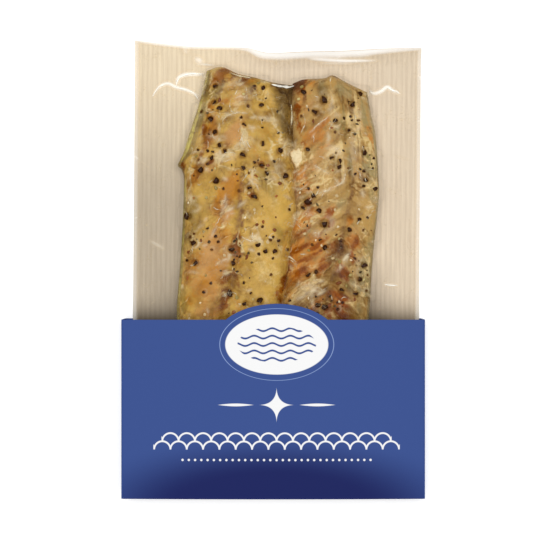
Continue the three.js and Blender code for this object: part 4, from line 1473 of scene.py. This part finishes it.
# Sharp pleats that catch the light, as paths with their thickness
brightPleats = [
    ([(-52.4, 97), (-51.9, 99.7), (-50.5, 101.9), (-46.5, 103.6), (-41, 103.9), (-36.8, 103.3)], 0.45),
    ([(-65.3, 91.5), (-63.6, 94.6), (-61.5, 97), (-57, 98.6)], 0.4),
    ([(-58.5, 98.4), (-55.5, 98.3), (-52.6, 96.7), (-46.5, 95), (-43, 93.3), (-40, 89)], 0.45),
    ([(51.5, 95.5), (52.8, 93.8), (54.2, 93.2), (58.6, 94.4), (61.9, 96.7)], 0.5),
    ([(61, 96.4), (63, 95.9), (65.3, 94.7), (67, 94.4), (68.9, 92.6)], 0.45),
    ([(60.4, -10.2), (64, -10.9), (67.6, -10.8)], 0.34),
    ([(-0.8, 96.6), (3, 95.9), (8, 95.5), (11.2, 95.9)], 0.75),
]
creases = [
    ([(-23.5, 103), (-18, 101.3), (-10.2, 99.8)], 0.4),
    ([(-20.4, 90.5), (-18, 95), (-13.8, 98.2)], 0.3),
    ([(9.7, 86), (10, 80), (9.6, 73.5)], 0.45),
    ([(19.3, 70.2), (24, 75), (29.3, 78.7)], 0.26),
    ([(24, 38), (31.3, 41), (37.4, 45), (38.8, 52.6)], 0.3),
    ([(22.5, 53), (26, 50.6), (30.2, 48.8)], 0.4),
    ([(-22.5, 88.5), (-23, 84), (-21, 81), (-17, 81.2)], 0.32),
    ([(-26.7, 74.7), (-26.3, 77.6), (-21.1, 80.6), (-13, 80.9)], 0.3),
    ([(10.8, 23.6), (12.4, 22.6), (14.6, 19.8)], 0.42),
    ([(6.4, 5), (9, 4.4), (12.2, 1.8)], 0.4),
    ([(8.3, 3), (10.5, 2), (13, -1.6)], 0.34),
    ([(14.8, 70.5), (17, 76), (16, 81)], 0.28),
    ([(31, 100.6), (30.4, 98), (30.8, 94)], 0.3),
    ([(-28, 58), (-24, 60), (-19.5, 59.4)], 0.32),
    ([(-15.6, 71.5), (-16.6, 67), (-15, 63.5)], 0.3),
]
# Fine pleats, of which some start beside grains or in milky places
pleats = {
    "count": 110,
    "seed": 404,
    "thickness": 0.2,
    "step": 0.7,
    "flat": 0.25,
    "wander": 0.38,
    "besideGrains": 0.35,
    "inMilk": 0.5,
    # near-white pleat colours, which stand for painted highlights
    "white": (252, 236, 196),
    "bright": (255, 252, 242),
}
# Short wrinkles with painted milky highlights over the flesh
strokes = {
    "count": 170,
    "seed": 515,
    "inMilk": 0.6,
    "step": 0.4,
    "steps": (7, 24),
    "width": (0.3, 0.8),
    "strength": (0.15, 0.55),
    "bend": 0.07,
    "wander": 0.08,
    "spread": 0.45,
}


class Raster:  # heights and whiteness of the film on an even grid over the pack
    def __init__(self, low, high, pitch):
        self.low, self.pitch = low, pitch
        self.xs = np.arange(low[0], high[0] + pitch, pitch)
        self.ys = np.arange(low[1], high[1] + pitch, pitch)
        self.x, self.y = np.meshgrid(self.xs, self.ys, indexing="ij")

    def window(self, x, y, reach):
        i = int((x - self.low[0]) / self.pitch)
        j = int((y - self.low[1]) / self.pitch)
        n = int(reach / self.pitch) + 1
        return slice(max(i - n, 0), i + n + 1), slice(max(j - n, 0), j + n + 1)

    def sample(self, field, x, y):
        gx = np.clip((x - self.low[0]) / self.pitch, 0, len(self.xs) - 1.001)
        gy = np.clip((y - self.low[1]) / self.pitch, 0, len(self.ys) - 1.001)
        i, j = gx.astype(int), gy.astype(int)
        fx, fy = gx - i, gy - j
        low = blend(field[i, j], field[i + 1, j], fx)
        high = blend(field[i, j + 1], field[i + 1, j + 1], fx)
        return blend(low, high, fy)


def blurred(field, sigma):
    reach = int(3 * sigma) + 1
    weights = np.exp(-0.5 * (np.arange(-reach, reach + 1) / sigma) ** 2)
    weights /= weights.sum()
    for axis in (0, 1):
        padding = [(reach, reach) if a == axis else (0, 0) for a in (0, 1)]
        padded = np.pad(field, padding, mode="edge")
        size = field.shape[axis]
        field = sum(w * np.take(padded, range(n, n + size), axis=axis) for n, w in enumerate(weights))
    return field


def widened(field, steps):  # the highest value within so many raster steps
    for axis in (0, 1):
        for n in range(steps):
            field = np.maximum(field, np.maximum(np.roll(field, 1, axis), np.roll(field, -1, axis)))
    return field


def drapeOverFish(raster):  # how far outside the fillets, and the film's height before its creases
    fish = np.zeros_like(raster.x)
    outside = np.full_like(raster.x, 99.0)
    for fillet in fillets:
        fish = np.maximum(fish, fleshHeight(fillet, raster.x, raster.y))
        across, stationY, fromEnd, halfWidth = placeIn(fillet, raster.x, raster.y)
        away = np.maximum(np.maximum((np.abs(across) - 1) * halfWidth, -fromEnd), 0)
        outside = np.minimum(outside, away)
    skirt = film["edgeHeight"] * np.clip(1 - outside / film["skirt"], 0, 1) ** 1.5
    drape = blurred(widened(np.maximum(fish, skirt), 2), 1.7)
    close = blurred(widened(fish, 1), 0.8)
    return outside, np.maximum(drape * (outside < 6), close) + film["clear"] * np.exp(-outside / 2)


def roundPoint(raster, x, y, reach):  # the part of the raster round a point, and how far each place in it is
    window = raster.window(x, y, reach)
    return window, np.hypot(raster.x[window] - x, raster.y[window] - y)


def tentOverGrains(raster, drape):
    tented = drape.copy()
    for x, y, z, radius in grains:
        top = z + 0.7 * radius + 0.06 - restHeight(y) - pouchFloor
        window, away = roundPoint(raster, x, y, filmDetail["tentReach"])
        tent = top - filmDetail["tentSlope"] * np.maximum(away - 0.55 * radius, 0)
        tented[window] = np.maximum(tented[window], tent)
    return np.maximum(blurred(tented, 0.8), drape)


def clearOverGrains(raster):  # the film touches the grains, so there is no painted whiteness over them
    clear = np.ones_like(raster.x)
    for x, y, z, radius in grains:
        window, away = roundPoint(raster, x, y, 2.5 * radius)
        clear[window] = np.minimum(clear[window], ramp(away, radius, 1.6 * radius))
    return clear


def haloRoundGrains(raster):  # painted milky reflection in rings, where the film stands off the flesh beside large grains
    rng = np.random.default_rng(31)
    halo = np.zeros_like(raster.x)
    for x, y, z, radius in grains[:pepper["count"]]:
        strength = max(rng.uniform(*filmDetail["haloStrength"]), 0)
        shiftX, shiftY = rng.normal(0, filmDetail["haloShift"], 2) * radius
        window = raster.window(x, y, 4 * radius)
        away = np.hypot(raster.x[window] - x - shiftX, raster.y[window] - y - shiftY)
        halo[window] = np.maximum(halo[window], strength * (1 - ramp(away, 0.8 * radius, 2.4 * radius)))
    return halo


def smoothPath(corners, step):  # even steps along a soft line through the corners
    corners = np.array(corners, float)
    lengths = np.concatenate([[0], np.cumsum(np.hypot(*np.diff(corners, axis=0).T))])
    at = np.linspace(0, lengths[-1], max(int(lengths[-1] / step), 4))
    return [through(list(zip(lengths, axis)), at) for axis in corners.T]


def milkyPlaces(raster):  # soft patches of painted reflection, broken by fine ridges
    def moved(x, y):
        return torn(x, y, x, y, 2, 6, (91, 95))

    milk = strongest(milkPatches, *moved(raster.x, raster.y), 0.3, 1.3, moved)
    ridges = 1 - np.abs(layeredNoise(raster.x, raster.y, 3.2, 97, 4)) / 0.55
    return 0.75 * milk * (0.3 + 0.7 * ramp(ridges, 0, 1))


def drawSoftFolds(raster):
    height, white = np.zeros_like(raster.x), np.zeros_like(raster.x)
    for corners, width, rise, strength in softFolds:
        xs, ys = smoothPath(corners, 0.3)
        for n, (x, y) in enumerate(zip(xs, ys)):
            fade = math.sin(math.pi * (n + 0.5) / len(xs)) ** 0.5
            window, away = roundPoint(raster, x, y, 3 * width)
            stamp = np.exp(-(away / width) ** 2) * fade
            height[window] = np.maximum(height[window], rise * stamp)
            white[window] = np.maximum(white[window], strength * stamp)
    broken = ramp(np.abs(layeredNoise(raster.x, raster.y, 2.6, 98, 3)), 0.3, 0.05)
    return height, white * np.where(outside > 1, 1, 0.2 + 0.6 * broken)


def filletAt(x):
    return leftFillet if x < filmDetail["valleyX"] else rightFillet


def anywhere(rng):  # on the part of the fillets that shows
    return rng.uniform(*filmDetail["shownX"]), rng.uniform(*filmDetail["shownY"])


def nearMilk(rng, spread):
    x, y, halfLength, halfWidth, strength = milkPatches[rng.integers(len(milkPatches))]
    return rng.normal(x, spread * halfWidth), rng.normal(y, spread * halfLength)


def calmest(x, y):
    return max(calmPlaces(fillet, x, y) for fillet in fillets)


def flakeDirection(x, y):
    return math.copysign(math.atan(filletShape["flakeSlope"]), through(filletAt(x)["line"], y) - x)


def inDark(x, y):
    fillet = filletAt(x)
    for middleX, middleY, length, width, strength in fillet["rustPatches"] + fillet["violetPatches"]:
        if math.hypot((x - middleX) / (width + 2), (y - middleY) / (length + 2)) < 1:
            return True
    return valleyShade(fillet, x, y) > 0.3


def drawSoftStrokes(raster):
    rng = np.random.default_rng(strokes["seed"])
    white = np.zeros_like(raster.x)
    drawn = 0
    while drawn < strokes["count"]:
        x, y = anywhere(rng)
        if rng.random() < strokes["inMilk"]:
            x, y = nearMilk(rng, 0.7)
        if not onFillet(x, y, 0.95, 2) or rng.random() < 0.8 * calmest(x, y) or inDark(x, y):
            continue
        drawn += 1
        turn = flakeDirection(x, y) + rng.normal(0, strokes["spread"])
        bend = rng.normal(0, strokes["bend"])
        width, strength = rng.uniform(*strokes["width"]), rng.uniform(*strokes["strength"])
        steps = rng.integers(*strokes["steps"])
        for n in range(steps):
            taper = math.sin(math.pi * (n + 0.5) / steps)
            window, away = roundPoint(raster, x, y, 2.5 * width)
            stamp = np.exp(-(away / (width * (0.5 + taper))) ** 2)
            white[window] = np.maximum(white[window], strength * taper * stamp)
            x, y = x + strokes["step"] * math.cos(turn), y + strokes["step"] * math.sin(turn)
            turn += bend + rng.normal(0, strokes["wander"])
    return white


def rimHighlight(raster):  # painted milky highlight on the film's foot round the fillets, at the upper left and along the right
    left = through([(-54, 1), (-30, 0.4), (-24, 0.1), (50, 0.15), (56, 0.6)], raster.x)
    up = through([(-30, 0.15), (60, 0.3), (84, 0.9), (104, 0.9)], raster.y)
    broken = ramp(layeredNoise(raster.x, raster.y, 9, 77, 3), -0.5, 0.4)
    return 0.8 * np.exp(-((outside - 0.5) / 0.6) ** 2) * left * up * broken


filmRaster = Raster(filmDetail["low"], filmDetail["high"], filmDetail["pitch"])
outside, drape = drapeOverFish(filmRaster)
foldHeight, foldHighlight = drawSoftFolds(filmRaster)
filmHeight = tentOverGrains(filmRaster, drape) + foldHeight


def filmTop(x, y, packX, packY):  # height of the film over a point of the sheet
    overFish = filmRaster.sample(outside, packX, packY) < 4
    height = filmRaster.sample(filmHeight, packX, packY)
    return sheetTop(x, y) + filmDetail["lift"] + height + pack["gap"] * overFish


def makeFilm():
    detail = filmDetail
    # painted highlights and reflections: folds, rings round grains, the foot, milky places and wrinkles
    white = np.maximum(foldHighlight, np.maximum(haloRoundGrains(filmRaster), rimHighlight(filmRaster)))
    white = np.maximum(white, milkyPlaces(filmRaster))
    white = white + (1 - white) * drawSoftStrokes(filmRaster)
    white *= clearOverGrains(filmRaster)
    piece, across, along = addGrid("clear_film", detail["columns"], detail["rows"])
    x = (np.interp(across, *zip(*detail["columnShares"])) - 0.5) * sheet["width"]
    hiddenShare = (sleeveTopY - 4 - sheet["footY"]) / (detail["topMean"] - sheet["footY"])
    along = np.interp(along, [0, detail["hiddenRows"], 1], [0, hiddenShare, 1])
    topY = through(sheet["topEdge"], x)
    y = blend(sheet["footY"], topY, along)
    packX, packY = sheetToPack(x, y)
    # The welded edge shines, most of all where the top curls up
    glare = [(-77.5, 0.5), (-70, 0.6), (-55, 0.65), (-22, 0.6), (-10, 1), (50, 1), (66, 0.75), (77.5, 0.6)]
    glare = through(glare, x)
    reach = 0.8 + 3.6 * glare ** 2 * (1 + 0.35 * layeredNoise(x, y, 14, 66, 2))
    sealAndGlare = glare * (1 - ramp(topY - y, 0.15 * reach, reach))
    sealAndGlare = np.maximum(sealAndGlare, 0.4 * (1 - ramp(sheet["width"] / 2 - np.abs(x), 1.2, 3.2)))
    # painted glare on the soft folds over the sheet, which glows
    foldGlareOnSheet = filmRaster.sample(foldHighlight * (outside > 1), packX, packY)
    setMask(piece, "white", filmRaster.sample(white, packX, packY) + sealAndGlare)
    setMask(piece, "glare", foldGlareOnSheet * 1.5 + sealAndGlare * 2)
    writePoints(piece, packX, packY, filmTop(x, y, packX, packY))
    smoothShade(piece)
    return piece


def finePleats():
    rng = np.random.default_rng(pleats["seed"])
    paths = []
    while len(paths) < pleats["count"]:
        x, y = anywhere(rng)
        start = rng.random()
        if start < pleats["besideGrains"]:
            x, y, z, radius = grains[rng.integers(pepper["count"])]
        elif start < pleats["besideGrains"] + pleats["inMilk"]:
            x, y = nearMilk(rng, 0.6)
        if not onFillet(x, y, 0.95, 2) or rng.random() < calmest(x, y):
            continue
        steps = int(rng.gamma(2.2, 1.5)) + 4
        turns = np.cumsum(rng.normal(0, pleats["wander"], steps)) + rng.uniform(0, 2 * math.pi)
        xs = x + pleats["step"] * np.cumsum(np.cos(turns))
        ys = y + pleats["step"] * np.cumsum(np.sin(turns))
        if onFillet(xs[-1], ys[-1], 0.97, 1):
            paths.append((xs, ys, pleats["thickness"] * rng.uniform(0.6, 1) ** 2 * 2.2))
    return paths


def onFilm(x, y):
    return filmRaster.sample(filmHeight, x, y) + restHeight(y) + pouchFloor + filmDetail["lift"]


def makePleats(name, paths):  # tapered ridges of doubled film
    curve = bpy.data.curves.new(name, "CURVE")
    curve.dimensions = "3D"
    curve.bevel_depth = mm
    curve.bevel_resolution = 1
    curve.use_fill_caps = True
    for xs, ys, thickness in paths:
        heights = onFilm(xs, ys) + 0.2 * thickness
        spline = curve.splines.new("POLY")
        spline.points.add(len(xs) - 1)
        ones = np.ones(len(xs))
        spline.points.foreach_set("co", np.stack([xs * mm, ys * mm, heights * mm, ones], axis=1).ravel())
        taper = np.sin(np.pi * (np.arange(len(xs)) + 0.3) / (len(xs) - 0.4)) ** 0.7
        uneven = 1 + 0.5 * softNoise(xs, ys, 1.8, 12)
        spline.points.foreach_set("radius", thickness * np.clip(taper * uneven, 0.15, 1.3))
    pickOnly(linkNew(name, curve))
    bpy.ops.object.convert(target="MESH")
    piece = bpy.context.object
    x, y, z = readPoints(piece).T / mm
    base = onFilm(x, y)
    writePoints(piece, x, y, base + (z - base) * pleats["flat"])
    smoothShade(piece)
    return piece


def makeFilmMaterial():
    material, tree, shader = newMaterial("clearFilm", Roughness=0.35, Specular_IOR_Level=0.3,
                                         Emission_Strength=filmDetail["glareGlow"])
    place = objectPlace(tree)
    glare = mask(tree, "glare")
    thread = softStep(unsigned(minus(noise(place, 190, 3, 0.5, 1.2), 0.5)), 0.012, 0.0)
    threads = times(thread, softStep(noise(place, 70, 2, 0.5), 0.5, 0.62))
    normal = bump(plus(threads, noise(place, 420, 3, 0.6)), 0.3, 0.15)
    # Painted glare: the glaring places are paler and glow
    feed(shader, Base_Color=mixColour(glare, srgb(*filmDetail["white"]), srgb(*filmDetail["glare"])),
         Emission_Color=mixColour(glare, (0, 0, 0, 1), (1, 1, 1, 1)), Normal=normal)
    # Painted milky veil where the white mask and the fine threads are
    veil = calc("MULTIPLY_ADD", threads, 0.3, times(mask(tree, "white"), 0.9), clamp=True)
    clear = addNode(tree, "ShaderNodeBsdfTransparent").outputs[0]
    body = addNode(tree, "ShaderNodeMixShader", {0: veil, 1: clear, 2: shader.outputs[0]}).outputs[0]
    gloss = addNode(tree, "ShaderNodeBsdfGlossy", {"Roughness": 0.16, "Normal": normal}).outputs[0]
    # Schlick's curve on Facing, because a Fresnel node would shut out the light from under the film
    facing = addNode(tree, "ShaderNodeLayerWeight", {"Blend": 0.5, "Normal": normal}).outputs["Facing"]
    shine = plusTimes(filmDetail["shine"], calc("POWER", facing, 5.0), 1 - filmDetail["shine"])
    mixed = addNode(tree, "ShaderNodeMixShader", {0: shine, 1: body, 2: gloss}).outputs[0]
    tree.links.new(mixed, tree.nodes["Material Output"].inputs["Surface"])
    return material


def makePleatMaterial(name, white, glow, least, most):  # how opaque the pleats are
    colours = {"Base_Color": srgb(*white), "Emission_Color": srgb(*white), "Emission_Strength": glow}
    material, tree, shader = newMaterial(name, Roughness=0.18, Specular_IOR_Level=0.8, **colours)
    alpha = softStep(noise(objectPlace(tree), 330, 3, 0.6), 0.38, 0.72)
    feed(shader, Alpha=plusTimes(least, alpha, most - least))
    return material


handIn(makeFilm(), "clear_film", "filled_pouch", makeFilmMaterial())
pleatMaterial = makePleatMaterial("thinPleat", pleats["white"], 0, 0.04, 0.5)
handIn(makePleats("film_pleats", finePleats()), "clear_film", "filled_pouch", pleatMaterial)
# the bright pleats glow a little: painted highlight
for name, lines, white, glow, least in (("bright_pleats", brightPleats, pleats["bright"], 0.15, 0.5),
                                        ("creases", creases, pleats["white"], 0, 0.05)):
    paths = [(*smoothPath(corners, pleats["step"]), thickness) for corners, thickness in lines]
    pleatMaterial = makePleatMaterial(name + "_film", white, glow, least, 0.85)
    handIn(makePleats(name, paths), "clear_film", "filled_pouch", pleatMaterial)


# Stage, lights and camera

stage = {
    "floor": (232, 232, 232),
    "floorGlow": 0.4,  # keeps the floor white under the soft shadows
    "worldStrength": 0.25,
    "key": (-0.22, 0.25, 2.05, 1.3, 22.7),  # place and size in metres, and power
    "fill": (0.35, -0.1, 2.0, 1.2, 11.3),
    "cameraHeight": 700,
    "cameraX": -1.66,
    "cameraY": -2.5,
    "focalPixels": 1289.7,  # for a picture 540 pixels wide
}


def makeFloor():
    pickOnly()
    bpy.ops.mesh.primitive_plane_add(size=6, location=(0, 0, -0.0001))
    floor = bpy.context.object
    floor.name = "floor"
    settings = {"Base_Color": srgb(*stage["floor"]), "Emission_Color": (1, 1, 1, 1),
                "Emission_Strength": stage["floorGlow"], "Roughness": 0.9, "Specular_IOR_Level": 0.1}
    material, tree, shader = newMaterial("paleFloor", **settings)
    floor.data.materials.append(material)


def addSoftbox(name, x, y, z, size, power):
    light = bpy.data.lights.new(name, "AREA")
    light.shape = "SQUARE"
    light.size = size
    light.energy = power
    box = linkNew(name, light)
    box.location = (x, y, z)
    box.rotation_euler = (-box.location).to_track_quat("-Z", "Y").to_euler()


def makeLights():
    world = bpy.context.scene.world or bpy.data.worlds.new("studio")
    bpy.context.scene.world = world
    world.use_nodes = True
    background = world.node_tree.nodes["Background"]
    background.inputs["Color"].default_value = (1, 1, 1, 1)
    background.inputs["Strength"].default_value = stage["worldStrength"]
    for name in ("key", "fill"):
        addSoftbox(name, *stage[name])
    bpy.context.scene.view_settings.view_transform = "Standard"


def makeCamera():
    data = bpy.data.cameras.new("camera")
    data.sensor_width = 36
    data.lens = 36 * stage["focalPixels"] / 540
    camera = linkNew("camera", data)
    camera.location = (stage["cameraX"] * mm, stage["cameraY"] * mm, stage["cameraHeight"] * mm)
    bpy.context.scene.camera = camera


makeFloor()
makeLights()
makeCamera()
print("stage, lights and camera set")
